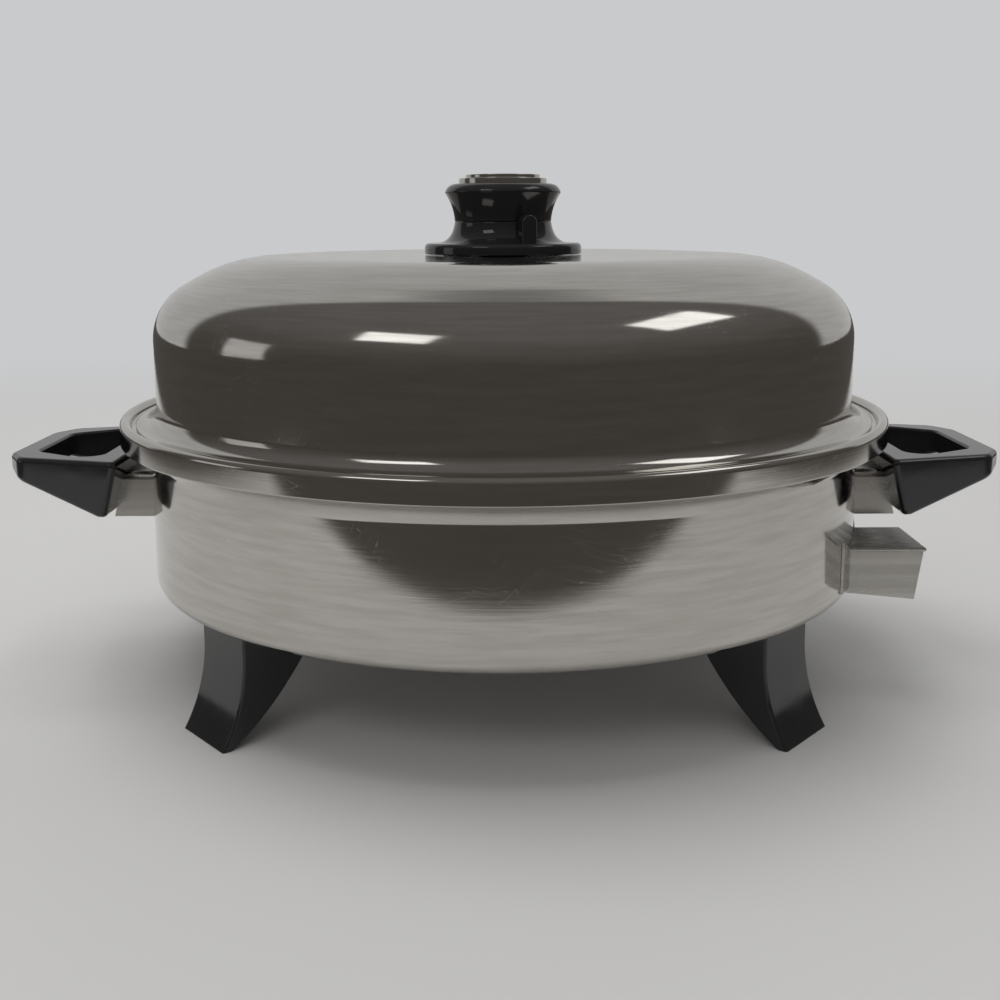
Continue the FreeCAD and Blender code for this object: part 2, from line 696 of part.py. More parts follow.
def leg_nuts():
    """Hexagon nuts inside the shell."""
    across_corners = LEG_NUT_FLAT / math.cos(math.radians(30.0))
    corners = [(across_corners * math.cos(math.radians(60.0 * step)),
                across_corners * math.sin(math.radians(60.0 * step)), 0.0) for step in range(6)]
    nut = outline_face(corners, in_plan).extrude(UP * LEG_NUT_HEIGHT)
    nut = nut.cut(Part.makeCylinder(LEG_STUD_RADIUS + FASTENER_PLAY, LEG_NUT_HEIGHT))
    nuts = []
    for place in leg_stud_places():
        seated = nut.copy()
        seated.translate(place + UP * (SHELL_BOTTOM + SHELL_SHEET))
        nuts.append(seated)
    return Part.makeCompound(nuts)


def grip_face_point(drop):
    """Point of the grip's leaning face in the upright plane, at a drop below the grip's top."""
    return Vector(GRIP_ROOT_X + GRIP_FACE_LEAN * drop / GRIP_ROOT_HEIGHT, 0, RIM_TOP - GRIP_TOP_DROP - drop)


def grip_face_normal():
    """Unit normal of the grip's leaning face, pointing at the pan."""
    slope = grip_face_point(GRIP_ROOT_HEIGHT) - grip_face_point(0.0)
    return Vector(slope.z, 0, -slope.x).normalize()


def behind_grip_face(shift, half_width):
    """Block on the pan's side of the grip's face, moved towards the pan by a shift."""
    upper = grip_face_point(-2.0 * GRIP_ROOT_HEIGHT) + grip_face_normal() * shift
    lower = grip_face_point(3.0 * GRIP_ROOT_HEIGHT) + grip_face_normal() * shift
    face = outline_face([
        (upper.x, upper.z, 0.0),
        (lower.x, lower.z, 0.0),
        (0.0, lower.z, 0.0),
        (0.0, upper.z, 0.0),
    ], in_section)
    block = face.extrude(Vector(0, 2.0 * half_width, 0))
    block.translate(Vector(0, -half_width, 0))
    return block


def bracket_section(inset, bottom):
    """Channel section (y, z), outer or inset by the sheet, extruded past both ends."""
    half = BRACKET_HALF_WIDTH - inset
    top = RIM_TOP - BRACKET_TOP_DROP - inset
    bend = BRACKET_BEND - inset
    face = outline_face([
        (-half, bottom, 0.0),
        (-half, top, bend),
        (half, top, bend),
        (half, bottom, 0.0),
    ], lambda y, z: Vector(0, y, z))
    return face.extrude(OUT * GRIP_TIP_X)


def screw_frames():
    """Point on the grip's face and direction into the grip of each right-hand grip screw."""
    into_grip = grip_face_normal() * -1.0
    frames = []
    for side in (-0.5, 0.5):
        frames.append((grip_face_point(SCREW_DROP) + Vector(0, side * SCREW_SPACING, 0), into_grip))
    return frames


def handle_bracket():
    """Channel from the pan's wall to the grip, with a back plate on the wall and a web at the grip."""
    bottom = RIM_TOP - BRACKET_TOP_DROP - BRACKET_HEIGHT
    wall = SHELL_RADIUS + SEAM_PLAY
    outer = bracket_section(0.0, bottom)
    hollow = bracket_section(BRACKET_SHEET, bottom - 1.0)
    end_block = behind_grip_face(0.0, BRACKET_HALF_WIDTH)
    web = outer.common(end_block).cut(behind_grip_face(BRACKET_SHEET, BRACKET_HALF_WIDTH + 1.0))
    web_floor = RIM_TOP - GRIP_TOP_DROP - GRIP_ROOT_HEIGHT
    web = web.common(box_between(Vector(0, -BRACKET_HALF_WIDTH, web_floor),
                                 Vector(GRIP_TIP_X, BRACKET_HALF_WIDTH, RIM_TOP)))
    back_plate = outer.common(Part.makeCylinder(wall + BRACKET_SHEET, RIM_TOP))
    channel = outer.cut(hollow).common(end_block)
    bracket = channel.fuse([web, back_plate]).cut(Part.makeCylinder(wall, RIM_TOP))
    holes = []
    for point, into_grip in screw_frames():
        holes.append(rod(SCREW_RADIUS + THROUGH_HOLE_PLAY, point - into_grip * 2.0, point + into_grip))
    for start, direction in bracket_rivet_frames():
        holes.append(rod(RIVET_RADIUS + FASTENER_PLAY, start, start + direction * 5.0))
    return bracket.cut(holes).removeSplitter()


def grip_plan_outline():
    """Plan outline (x, y) of the grip, run on towards the pan past its leaning face."""
    root_x = GRIP_ROOT_X - GRIP_FACE_LEAN
    shoulder_x = GRIP_TIP_X - GRIP_SHOULDER_INSET
    taper = (GRIP_ROOT_HALF_WIDTH - GRIP_SHOULDER_HALF_WIDTH) / (shoulder_x - GRIP_ROOT_X)
    side = [
        (root_x, GRIP_ROOT_HALF_WIDTH + taper * GRIP_FACE_LEAN, 0.0),
        (shoulder_x, GRIP_SHOULDER_HALF_WIDTH, GRIP_SHOULDER_ROUND),
        (GRIP_TIP_X, GRIP_TIP_HALF_WIDTH, GRIP_SHOULDER_ROUND),
    ]
    return side + [(x, -y, bend) for x, y, bend in reversed(side)]


def finger_hole_outline():
    """Plan outline (x, y) of the finger hole."""
    root = GRIP_ROOT_X + HOLE_ROOT_BAR
    side = [
        (root, HOLE_ROOT_HALF_WIDTH, HOLE_ROUND),
        (root + HOLE_SIDE_LENGTH, HOLE_ROOT_HALF_WIDTH - HOLE_SIDE_DRAW, HOLE_ROUND),
        (GRIP_TIP_X - HOLE_TIP_BAR, HOLE_TIP_HALF_WIDTH, HOLE_ROUND),
    ]
    return side + [(x, -y, bend) for x, y, bend in reversed(side)]


def grip_side_outline():
    """Side outline (x, z) of the grip: flat top, leaning face, short heel and a rising underside."""
    top = RIM_TOP - GRIP_TOP_DROP
    foot = grip_face_point(GRIP_ROOT_HEIGHT)
    return [
        (GRIP_ROOT_X, top, GRIP_EDGE_ROUND),
        (GRIP_TIP_X + 1.0, top, 0.0),
        (GRIP_TIP_X + 1.0, top - GRIP_TIP_HEIGHT, 0.0),
        (foot.x + GRIP_HEEL, foot.z, GRIP_HEEL_ROUND),
        (foot.x, foot.z, GRIP_HEEL_ROUND),
    ]


def handle_grip():
    """Moulded loop handle with a finger hole and rounded edges."""
    width = Vector(0, 4.0 * GRIP_ROOT_HALF_WIDTH, 0)
    side = outline_face(grip_side_outline(), in_section).extrude(width)
    side.translate(width * -0.5)
    plan = outline_face(grip_plan_outline(), in_plan).extrude(UP * RIM_TOP)
    hole = outline_face(finger_hole_outline(), in_plan).extrude(UP * RIM_TOP)
    grip = plan.common(side)
    grip = grip.makeFillet(GRIP_EDGE_ROUND, [edge for edge in grip.Edges if on_plan_wall(edge)])
    grip = grip.cut(hole)
    grip = grip.makeFillet(HOLE_EDGE_ROUND, [edge for edge in grip.Edges if on_hole_wall(edge)])
    sockets = []
    for point, into_grip in screw_frames():
        depth = INSERT_LENGTH + FASTENER_PLAY
        sockets.append(rod(INSERT_RADIUS + FASTENER_PLAY, point - into_grip, point + into_grip * depth))
    return grip.cut(sockets)


def runs_on_outline(edge, corners):
    """True for an edge that follows an upright wall over a plan outline and isn't upright itself."""
    ends = [vertex.Point for vertex in edge.Vertexes]
    if math.hypot(ends[0].x - ends[-1].x, ends[0].y - ends[-1].y) < 1e-6:
        return False
    outline = Part.Wire(corner_edges(corners, in_plan, True))
    first, last = edge.ParameterRange
    for share in (0.25, 0.75):
        point = edge.valueAt(first + (last - first) * share)
        foot = Part.Vertex(point.x, point.y, 0.0)
        if outline.distToShape(foot)[0] > 1e-4:
            return False
    return True


def on_plan_wall(edge):
    """True for an edge of the grip's outer wall."""
    return runs_on_outline(edge, grip_plan_outline())


def on_hole_wall(edge):
    """True for an edge of the finger hole's wall."""
    return runs_on_outline(edge, finger_hole_outline())


def both_sides(shapes):
    """Group of right-hand pieces with their left-hand partners."""
    return Part.makeCompound(shapes + [other_side(shape) for shape in shapes])


def handle_screws():
    """Screws through the webs into the grips' inserts, with their heads inside the channels."""
    screws = []
    for point, into_grip in screw_frames():
        head_seat = point - into_grip * BRACKET_SHEET
        head_end = head_seat - into_grip * SCREW_HEAD_HEIGHT
        head = domed_rod(SCREW_HEAD_RADIUS, head_seat, head_end, SCREW_HEAD_HEIGHT * 0.5)
        shank_end = point + into_grip * (INSERT_LENGTH - FASTENER_PLAY)
        screws.append(head.fuse(rod(SCREW_RADIUS, head_seat, shank_end)))
    return both_sides(screws)


def handle_inserts():
    """Brass sleeves moulded into the grips."""
    inserts = []
    for point, into_grip in screw_frames():
        sleeve = rod(INSERT_RADIUS, point + into_grip * FASTENER_PLAY, point + into_grip * INSERT_LENGTH)
        bore = rod(SCREW_RADIUS + FASTENER_PLAY, point - into_grip, point + into_grip * (INSERT_LENGTH + 1.0))
        inserts.append(sleeve.cut(bore))
    return both_sides(inserts)


def handle_rivets():
    """Rivets that hold the brackets' back plates to the shell."""
    rivets = []
    for start, direction in bracket_rivet_frames():
        plate_end = SHELL_SHEET + SEAM_PLAY + BRACKET_SHEET
        shank = rod(RIVET_RADIUS, start - direction * 0.6, start + direction * (plate_end + 0.6))
        inner_head = rod(RIVET_HEAD_RADIUS, start - direction * (SEAM_PLAY + RIVET_HEAD_HEIGHT / 1.5),
                         start - direction * SEAM_PLAY)
        head_start = start + direction * (plate_end + SEAM_PLAY)
        outer_head = domed_rod(RIVET_HEAD_RADIUS, head_start,
                               head_start + direction * RIVET_HEAD_HEIGHT, RIVET_HEAD_HEIGHT * 0.6)
        rivets.append(shank.fuse([inner_head, outer_head]))
    return Part.makeCompound(rivets)


def vent_hole_cutters(turn, low, high):
    """Upright rods at the vent holes, turned about the axis."""
    cutters = []
    for step in range(VENT_HOLE_COUNT):
        angle = math.radians(turn + 360.0 / VENT_HOLE_COUNT * step)
        place = Vector(VENT_HOLE_CIRCLE * math.cos(angle), VENT_HOLE_CIRCLE * math.sin(angle), 0)
        cutters.append(rod(VENT_HOLE_RADIUS, place + UP * low, place + UP * high))
    return cutters


def lid_dome():
    """Domed lid: flat crown, sloping shoulder, upright wall and an edge flared into the trough."""
    shoulder = math.tan(math.radians(LID_SHOULDER_ANGLE)) * (LID_WALL_RADIUS - LID_CROWN_RADIUS)
    edge_height = TROUGH_FLOOR + LID_SEAT_PLAY + LID_SHEET
    seen = [
        (0.0, LID_TOP, 0.0),
        (LID_CROWN_RADIUS, LID_TOP, LID_CROWN_BEND),
        (LID_WALL_RADIUS, LID_TOP - shoulder, LID_SHOULDER_BEND),
        (LID_WALL_RADIUS, edge_height, LID_FLARE_BEND),
        (LID_EDGE_RADIUS, edge_height, 0.0),
    ]
    lid = bent_sheet(seen, -LID_SHEET)
    low = LID_TOP - 2.0 * LID_SHEET
    high = LID_TOP + 1.0
    holes = vent_hole_cutters(TAB_AZIMUTH, low, high)
    holes.append(rod(KNOB_BOLT_RADIUS + FASTENER_PLAY, UP * low, UP * high))
    return lid.cut(holes)


def bulged_middle(start, end, bulge):
    """Middle point of a shallow arc between two section points, bulge to the left."""
    along = end - start
    left = Vector(-along.z, 0, along.x).normalize()
    return start + along * 0.5 + left * bulge


def knob_grip():
    """Knob: flared grip over a hub that stands on the lid."""
    foot = LID_TOP + COLLAR_HEIGHT + TURN_PLAY
    hub_foot = in_section(KNOB_HUB_RADIUS, LID_TOP)
    hub_top = in_section(KNOB_HUB_RADIUS, foot)
    waist = in_section(WAIST_RADIUS, foot)
    widest = in_section(KNOB_RADIUS, LID_TOP + KNOB_WIDEST_HEIGHT)
    rim = in_section(KNOB_TOP_RADIUS, LID_TOP + KNOB_HEIGHT)
    seat_edge = in_section(CAP_RADIUS + FASTENER_PLAY, LID_TOP + KNOB_HEIGHT)
    seat_foot = in_section(CAP_RADIUS + FASTENER_PLAY, LID_TOP + KNOB_HEIGHT - CAP_SEAT_DEPTH)
    seat_middle = in_section(0.0, LID_TOP + KNOB_HEIGHT - CAP_SEAT_DEPTH)
    base_middle = in_section(0.0, LID_TOP)
    flank_middle = bulged_middle(waist, widest, KNOB_FLANK_HOLLOW * -1.0)
    crown_middle = bulged_middle(widest, rim, -1.1)
    outline = Part.Wire([
        Part.LineSegment(base_middle, hub_foot).toShape(),
        Part.LineSegment(hub_foot, hub_top).toShape(),
        Part.LineSegment(hub_top, waist).toShape(),
        Part.Arc(waist, flank_middle, widest).toShape(),
        Part.Arc(widest, crown_middle, rim).toShape(),
        Part.LineSegment(rim, seat_edge).toShape(),
        Part.LineSegment(seat_edge, seat_foot).toShape(),
        Part.LineSegment(seat_foot, seat_middle).toShape(),
        Part.LineSegment(seat_middle, base_middle).toShape(),
    ])
    knob = Part.Face(outline).revolve(ORIGIN, UP, 360)
    depth = KNOB_BOLT_LENGTH - WASHER_THICKNESS - LID_SHEET + 1.0
    bores = [
        rod(KNOB_INSERT_RADIUS + FASTENER_PLAY, UP * (LID_TOP - 1.0), UP * (LID_TOP + KNOB_INSERT_LENGTH)),
        rod(KNOB_BOLT_RADIUS + FASTENER_PLAY, UP * (LID_TOP - 1.0), UP * (LID_TOP + depth)),
    ]
    return knob.cut(bores)


def knob_cap():
    """Stepped metal disc let into the knob's top."""
    base = LID_TOP + KNOB_HEIGHT - CAP_SEAT_DEPTH
    step = LID_TOP + KNOB_HEIGHT + CAP_HEIGHT - CAP_STEP_HEIGHT
    top = LID_TOP + KNOB_HEIGHT + CAP_HEIGHT
    return turned([
        (0.0, base, 0.0),
        (CAP_RADIUS, base, 0.0),
        (CAP_RADIUS, step, 0.8),
        (CAP_STEP_RADIUS, step, 0.5),
        (CAP_STEP_RADIUS, top, 0.7),
        (0.0, top, 0.0),
    ])


def knob_insert():
    """Brass sleeve in the hub that takes the bolt."""
    sleeve = rod(KNOB_INSERT_RADIUS, UP * (LID_TOP + FASTENER_PLAY), UP * (LID_TOP + KNOB_INSERT_LENGTH))
    bore = rod(KNOB_BOLT_RADIUS + FASTENER_PLAY, UP * LID_TOP, UP * (LID_TOP + KNOB_HEIGHT))
    return sleeve.cut(bore)


def knob_bolt():
    """Bolt up through the washer and the lid into the insert."""
    seat = LID_TOP - LID_SHEET - WASHER_THICKNESS
    head = domed_rod(KNOB_BOLT_HEAD_RADIUS, UP * seat, UP * (seat - KNOB_BOLT_HEAD_HEIGHT),
                     KNOB_BOLT_HEAD_HEIGHT * 0.6)
    return head.fuse(rod(KNOB_BOLT_RADIUS, UP * seat, UP * (seat + KNOB_BOLT_LENGTH)))


def knob_washer():
    """Washer between the lid and the bolt's head."""
    seat = LID_TOP - LID_SHEET - WASHER_THICKNESS
    disc = Part.makeCylinder(WASHER_RADIUS, WASHER_THICKNESS, UP * seat)
    return disc.cut(Part.makeCylinder(KNOB_BOLT_RADIUS + FASTENER_PLAY, WASHER_THICKNESS, UP * seat))


def vent_collar():
    """Turning collar round the hub, with a thumb tab, a steam chamber and an outlet at the back."""
    foot = LID_TOP + TURN_PLAY
    top = LID_TOP + COLLAR_HEIGHT
    bore = KNOB_HUB_RADIUS + HUB_PLAY
    edge_top = in_section(COLLAR_RADIUS, LID_TOP + COLLAR_EDGE_HEIGHT)
    shoulder = in_section(COLLAR_RADIUS - COLLAR_SHOULDER_INSET, LID_TOP + COLLAR_SHOULDER_HEIGHT)
    waist = in_section(WAIST_RADIUS, top)
    corners = [
        in_section(WAIST_RADIUS, top),
        in_section(bore, top),
        in_section(bore, foot),
        in_section(COLLAR_RADIUS, foot),
        edge_top,
    ]
    edges = [Part.LineSegment(a, b).toShape() for a, b in zip(corners, corners[1:])]
    edges.append(Part.Arc(edge_top, bulged_middle(edge_top, shoulder, -0.4), shoulder).toShape())
    edges.append(Part.Arc(shoulder, bulged_middle(shoulder, waist, COLLAR_HOLLOW), waist).toShape())
    collar = Part.Face(Part.Wire(edges)).revolve(ORIGIN, UP, 360)
    collar = collar.fuse(thumb_tab())
    recess_top = LID_TOP + TURN_PLAY + SHUTTER_THICKNESS + FASTENER_PLAY
    recess = Part.makeCylinder(SHUTTER_RADIUS + FASTENER_PLAY, recess_top - LID_TOP, UP * LID_TOP)
    chamber_outer = WAIST_RADIUS - STEAM_CHAMBER_WALL
    chamber_inner = bore + STEAM_CHAMBER_WALL
    chamber = Part.makeCylinder(chamber_outer, STEAM_CHAMBER_HEIGHT, UP * LID_TOP)
    chamber = chamber.cut(Part.makeCylinder(chamber_inner, STEAM_CHAMBER_HEIGHT, UP * LID_TOP))
    back = Rotation(UP, TAB_AZIMUTH + 180.0).multVec(OUT)
    outlet_height = UP * (LID_TOP + STEAM_CHAMBER_HEIGHT - 2.0 * STEAM_OUTLET_RADIUS)
    outlet = rod(STEAM_OUTLET_RADIUS, back * chamber_inner + outlet_height, back * COLLAR_RADIUS + outlet_height)
    return collar.cut([recess, chamber, outlet]).removeSplitter()


def thumb_tab():
    """Upright tab on the collar with an arched top."""
    half = TAB_WIDTH / 2.0
    foot = LID_TOP + COLLAR_EDGE_HEIGHT
    top = LID_TOP + TAB_HEIGHT
    arch = Part.Wire([
        Part.LineSegment(Vector(0, half, top - half), Vector(0, half, foot)).toShape(),
        Part.LineSegment(Vector(0, half, foot), Vector(0, -half, foot)).toShape(),
        Part.LineSegment(Vector(0, -half, foot), Vector(0, -half, top - half)).toShape(),
        Part.Arc(Vector(0, -half, top - half), Vector(0, 0, top), Vector(0, half, top - half)).toShape(),
    ])
    tab = Part.Face(arch).extrude(OUT * (TAB_OUTER_RADIUS - TAB_INNER_RADIUS))
    tab.translate(OUT * TAB_INNER_RADIUS)
    return about_axis(tab, TAB_AZIMUTH)


def vent_shutter():
    """Plate in the collar's foot whose holes meet the lid's when the collar is turned."""
    foot = LID_TOP + TURN_PLAY
    plate = Part.makeCylinder(SHUTTER_RADIUS, SHUTTER_THICKNESS, UP * foot)
    holes = vent_hole_cutters(TAB_AZIMUTH + VENT_TURN, foot - 1.0, foot + 2.0)
    holes.append(Part.makeCylinder(KNOB_HUB_RADIUS + HUB_PLAY, SHUTTER_THICKNESS, UP * foot))
    return plate.cut(holes)


def build_nodes():
    """Every piece of the skillet by name."""
    bracket = handle_bracket()
    grip = handle_grip()
    nodes = {
        "inner_pan": inner_pan(),
        "outer_shell": outer_shell(),
        "heat_spreader": heat_spreader(),
        "heating_element": heating_element(),
        "terminal_pins": terminal_pins(),
        "terminal_bushings": terminal_bushings(),
        "terminal_block": terminal_block(),
        "probe_tube": probe_tube(),
        "socket_shroud": socket_shroud(),
        "shroud_rivets": shroud_rivets(),
        "leg_studs": leg_studs(),
        "leg_nuts": leg_nuts(),
        "right_handle_bracket": bracket,
        "left_handle_bracket": other_side(bracket),
        "right_handle_grip": grip,
        "left_handle_grip": other_side(grip),
        "handle_rivets": handle_rivets(),
        "handle_screws": handle_screws(),
        "handle_inserts": handle_inserts(),
        "lid_dome": lid_dome(),
        "knob_grip": knob_grip(),
        "knob_cap": knob_cap(),
        "knob_insert": knob_insert(),
        "knob_bolt": knob_bolt(),
        "knob_washer": knob_washer(),
        "vent_collar": vent_collar(),
        "vent_shutter": vent_shutter(),
    }
    for name, azimuth in leg_azimuths().items():
        nodes[name] = leg(azimuth)
    return nodes


def main():
    """Write one file per piece."""
    os.makedirs("parts", exist_ok=True)
    for name, shape in build_nodes().items():
        if not shape.isValid() or not shape.Solids:
            raise ValueError(name + " is not a valid solid")
        shape.exportStep("parts/" + name + ".step")
        print(name, len(shape.Solids), round(shape.Volume, 1))


main()
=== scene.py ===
"""Looks of a round electric skillet: finishes, turned sheet-metal pieces, stage, light and camera.

Sizes of the pieces are in millimetres in the classes and in metres in the meshes. +Z is up, the
pan's axis is x = y = 0, +X points to the socket side and -Y to the viewer.
"""

import logging
import math
from dataclasses import dataclass, field
from enum import Enum
from functools import cache

import bmesh
import bpy
import numpy as np
from mathutils import Matrix, Vector


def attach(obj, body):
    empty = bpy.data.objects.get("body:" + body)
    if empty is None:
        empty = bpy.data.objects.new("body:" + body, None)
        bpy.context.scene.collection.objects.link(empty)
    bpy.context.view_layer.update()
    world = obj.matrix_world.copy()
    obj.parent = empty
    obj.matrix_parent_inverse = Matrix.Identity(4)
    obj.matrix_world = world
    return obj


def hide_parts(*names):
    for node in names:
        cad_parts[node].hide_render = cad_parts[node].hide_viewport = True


LOG = logging.getLogger("skillet")
MM = 0.001
CUT_EDGE_STEPS = 8  # turns of a sheet's rounded cut edge
FINE_STEPS = 4.0  # fine steps in one pitch of a soft outline
TURN_WEIGHT = 60.0  # how much closer its stations lie where it turns
STATION_SPACING = 4.0  # fine steps between them where it runs straight
STREAKS_PER_METRE = 420.0  # slow streaks of ring grain across the brushing
AXIS_REACH = 1e-7  # metres from the axis within which a ring is one vertex

Triple = tuple[float, float, float]
Socket = bpy.types.NodeSocket
NodeTree = bpy.types.NodeTree
Material = bpy.types.Material

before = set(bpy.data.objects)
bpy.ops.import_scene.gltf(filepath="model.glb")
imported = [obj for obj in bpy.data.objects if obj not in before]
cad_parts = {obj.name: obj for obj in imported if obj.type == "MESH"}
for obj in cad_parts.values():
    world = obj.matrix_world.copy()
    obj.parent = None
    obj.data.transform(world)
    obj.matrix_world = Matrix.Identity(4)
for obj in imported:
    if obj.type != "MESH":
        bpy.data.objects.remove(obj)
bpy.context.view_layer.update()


# Sections that are turned about the axis


@dataclass(frozen=True)
class Corner:
    """A corner of a section path: radius from the axis, height and bend radius."""

    r: float
    z: float
    bend: float = 0.0


class Side(Enum):
    """Side of a section path on which its sheet lies, seen along the path."""

    LEFT = 1.0
    RIGHT = -1.0


@dataclass
class Station:
    """A point of a section with the normals of the runs before and after it."""

    point: np.ndarray
    normal_in: np.ndarray
    normal_out: np.ndarray


def unit(vector: np.ndarray) -> np.ndarray:
    """Returns the vector at length one."""
    return vector / np.linalg.norm(vector)


def left_of(direction: np.ndarray) -> np.ndarray:
    """Returns the direction turned a quarter turn to its left."""
    return np.array([-direction[1], direction[0]])


def bent_path(corners: list[Corner], step: float = 6.0) -> list[Station]:
    """Follows a path of straight runs and bends, with normals to its left.

    Args:
        corners: The path's corners in order.
        step: Largest turn between two stations of a bend, in degrees.

    Returns:
        Stations along the path.
    """
    points = [np.array([corner.r, corner.z], dtype=float) for corner in corners]
    stations = []
    for index, corner in enumerate(corners):
        here = points[index]
        back = unit(here - points[index - 1]) if index > 0 else None
        ahead = unit(points[index + 1] - here) if index < len(corners) - 1 else None
        if back is None or ahead is None or corner.bend <= 0.0:
            normal_in = left_of(back if back is not None else ahead)
            normal_out = left_of(ahead if ahead is not None else back)
            stations.append(Station(here, normal_in, normal_out))
            continue
        turn = math.atan2(back[0] * ahead[1] - back[1] * ahead[0], float(back @ ahead))
        reach = corner.bend * math.tan(abs(turn) / 2.0)
        side = math.copysign(1.0, turn)
        centre = here - back * reach + left_of(back) * corner.bend * side
        count = max(3, int(math.ceil(math.degrees(abs(turn)) / step)))
        for part in range(count + 1):
            angle = turn * part / count
            cosine, sine = math.cos(angle), math.sin(angle)
            spin = np.array([[cosine, -sine], [sine, cosine]])
            normal = spin @ left_of(back)
            point = centre - normal * corner.bend * side
            stations.append(Station(point, normal, normal))
    return stations


def sheet_section(corners: list[Corner], thickness: float, side: Side) -> list[Station]:
    """Closes a path into the section of a bent sheet with a rounded cut edge.

    Args:
        corners: Corners of the sheet's seen face, from the axis to its edge.
        thickness: Thickness of the sheet.
        side: Side of the path on which the sheet lies.

    Returns:
        Stations round the section, open at the axis.
    """
    sign = side.value
    shortened = list(corners)
    last, before = corners[-1], corners[-2]
    run = unit(np.array([last.r - before.r, last.z - before.z]))
    end = np.array([last.r, last.z]) - run * thickness / 2.0
    shortened[-1] = Corner(float(end[0]), float(end[1]))
    seen = bent_path(shortened)
    loop = [Station(s.point, -sign * s.normal_in, -sign * s.normal_out) for s in seen]
    middle = end + left_of(run) * sign * thickness / 2.0
    for part in range(1, CUT_EDGE_STEPS):
        angle = math.pi * part / CUT_EDGE_STEPS
        normal = -sign * left_of(run) * math.cos(angle) + run * math.sin(angle)
        loop.append(Station(middle + normal * thickness / 2.0, normal, normal))
    for station in reversed(seen):
        mean = unit(station.normal_in + station.normal_out)
        reach = thickness / float(mean @ station.normal_in)
        point = station.point + sign * mean * reach
        loop.append(Station(point, sign * station.normal_out, sign * station.normal_in))
    return loop


@dataclass(frozen=True)
class Arc:
    """A shallow arc to a point of an outline, bulging to the left of the way there."""

    r: float
    z: float
    bulge: float


def soft_outline(start: tuple[float, float], runs: list, rounding: float,
                 pitch: float) -> list[Station]:
    """Samples an outline of lines and arcs and softens its corners.

    Args:
        start: First point, on the axis.
        runs: Points as (r, z) pairs, or arcs; the last one is on the axis.
        rounding: Reach of the softening along the outline.
        pitch: Distance between stations.

    Returns:
        Stations along the outline with normals to its right, away from the axis.
    """
    fine = pitch / FINE_STEPS
    line = [np.array(start, dtype=float)]
    for run in runs:
        origin = line[-1]
        if isinstance(run, Arc):
            goal = np.array([run.r, run.z])
            chord = goal - origin
            length = float(np.linalg.norm(chord))
            across = left_of(chord / length)
            count = max(2, int(length / fine))
            for part in range(1, count + 1):
                share = part / count
                lift = run.bulge * 4.0 * share * (1.0 - share)
                line.append(origin + chord * share + across * lift)
        else:
            goal = np.array(run, dtype=float)
            length = float(np.linalg.norm(goal - origin))
            count = max(1, int(length / fine))
            for part in range(1, count + 1):
                line.append(origin + (goal - origin) * part / count)
    dense = np.array(line)
    steps = np.linalg.norm(np.diff(dense, axis=0), axis=1)
    along = np.concatenate([[0.0], np.cumsum(steps)])
    count = int(along[-1] / fine)
    even = np.linspace(0.0, along[-1], count + 1)
    even_points = np.stack([np.interp(even, along, dense[:, axis]) for axis in range(2)], axis=1)
    reach = max(1, int(rounding / (even[1] - even[0])))
    kernel = np.hanning(2 * reach + 3)[1:-1]
    kernel /= kernel.sum()
    soft = even_points.copy()
    mirrored = np.pad(even_points, ((reach, reach), (0, 0)), mode="edge")
    mirrored[:reach, 0] = -even_points[1:reach + 1][::-1, 0]
    mirrored[:reach, 1] = even_points[1:reach + 1][::-1, 1]
    mirrored[-reach:, 0] = -even_points[-reach - 1:-1][::-1, 0]
    mirrored[-reach:, 1] = even_points[-reach - 1:-1][::-1, 1]
    for axis in range(2):
        soft[:, axis] = np.convolve(mirrored[:, axis], kernel, mode="valid")
    soft[0, 0] = 0.0
    soft[-1, 0] = 0.0
    tangents = np.gradient(soft, axis=0)
    turn = np.zeros(len(soft))
    unit_tangents = tangents / np.linalg.norm(tangents, axis=1)[:, None]
    turn[1:-1] = np.linalg.norm(unit_tangents[2:] - unit_tangents[:-2], axis=1)
    stations = []
    keep = 0.0
    for index in range(len(soft)):
        keep += 1.0 + TURN_WEIGHT * turn[index]
        if index in (0, len(soft) - 1) or keep >= STATION_SPACING:
            normal = -left_of(unit_tangents[index])
            if index in (0, len(soft) - 1):
                normal = np.array([0.0, math.copysign(1.0, normal[1])])
            stations.append(Station(soft[index], normal, normal))
            keep = 0.0
    return stations


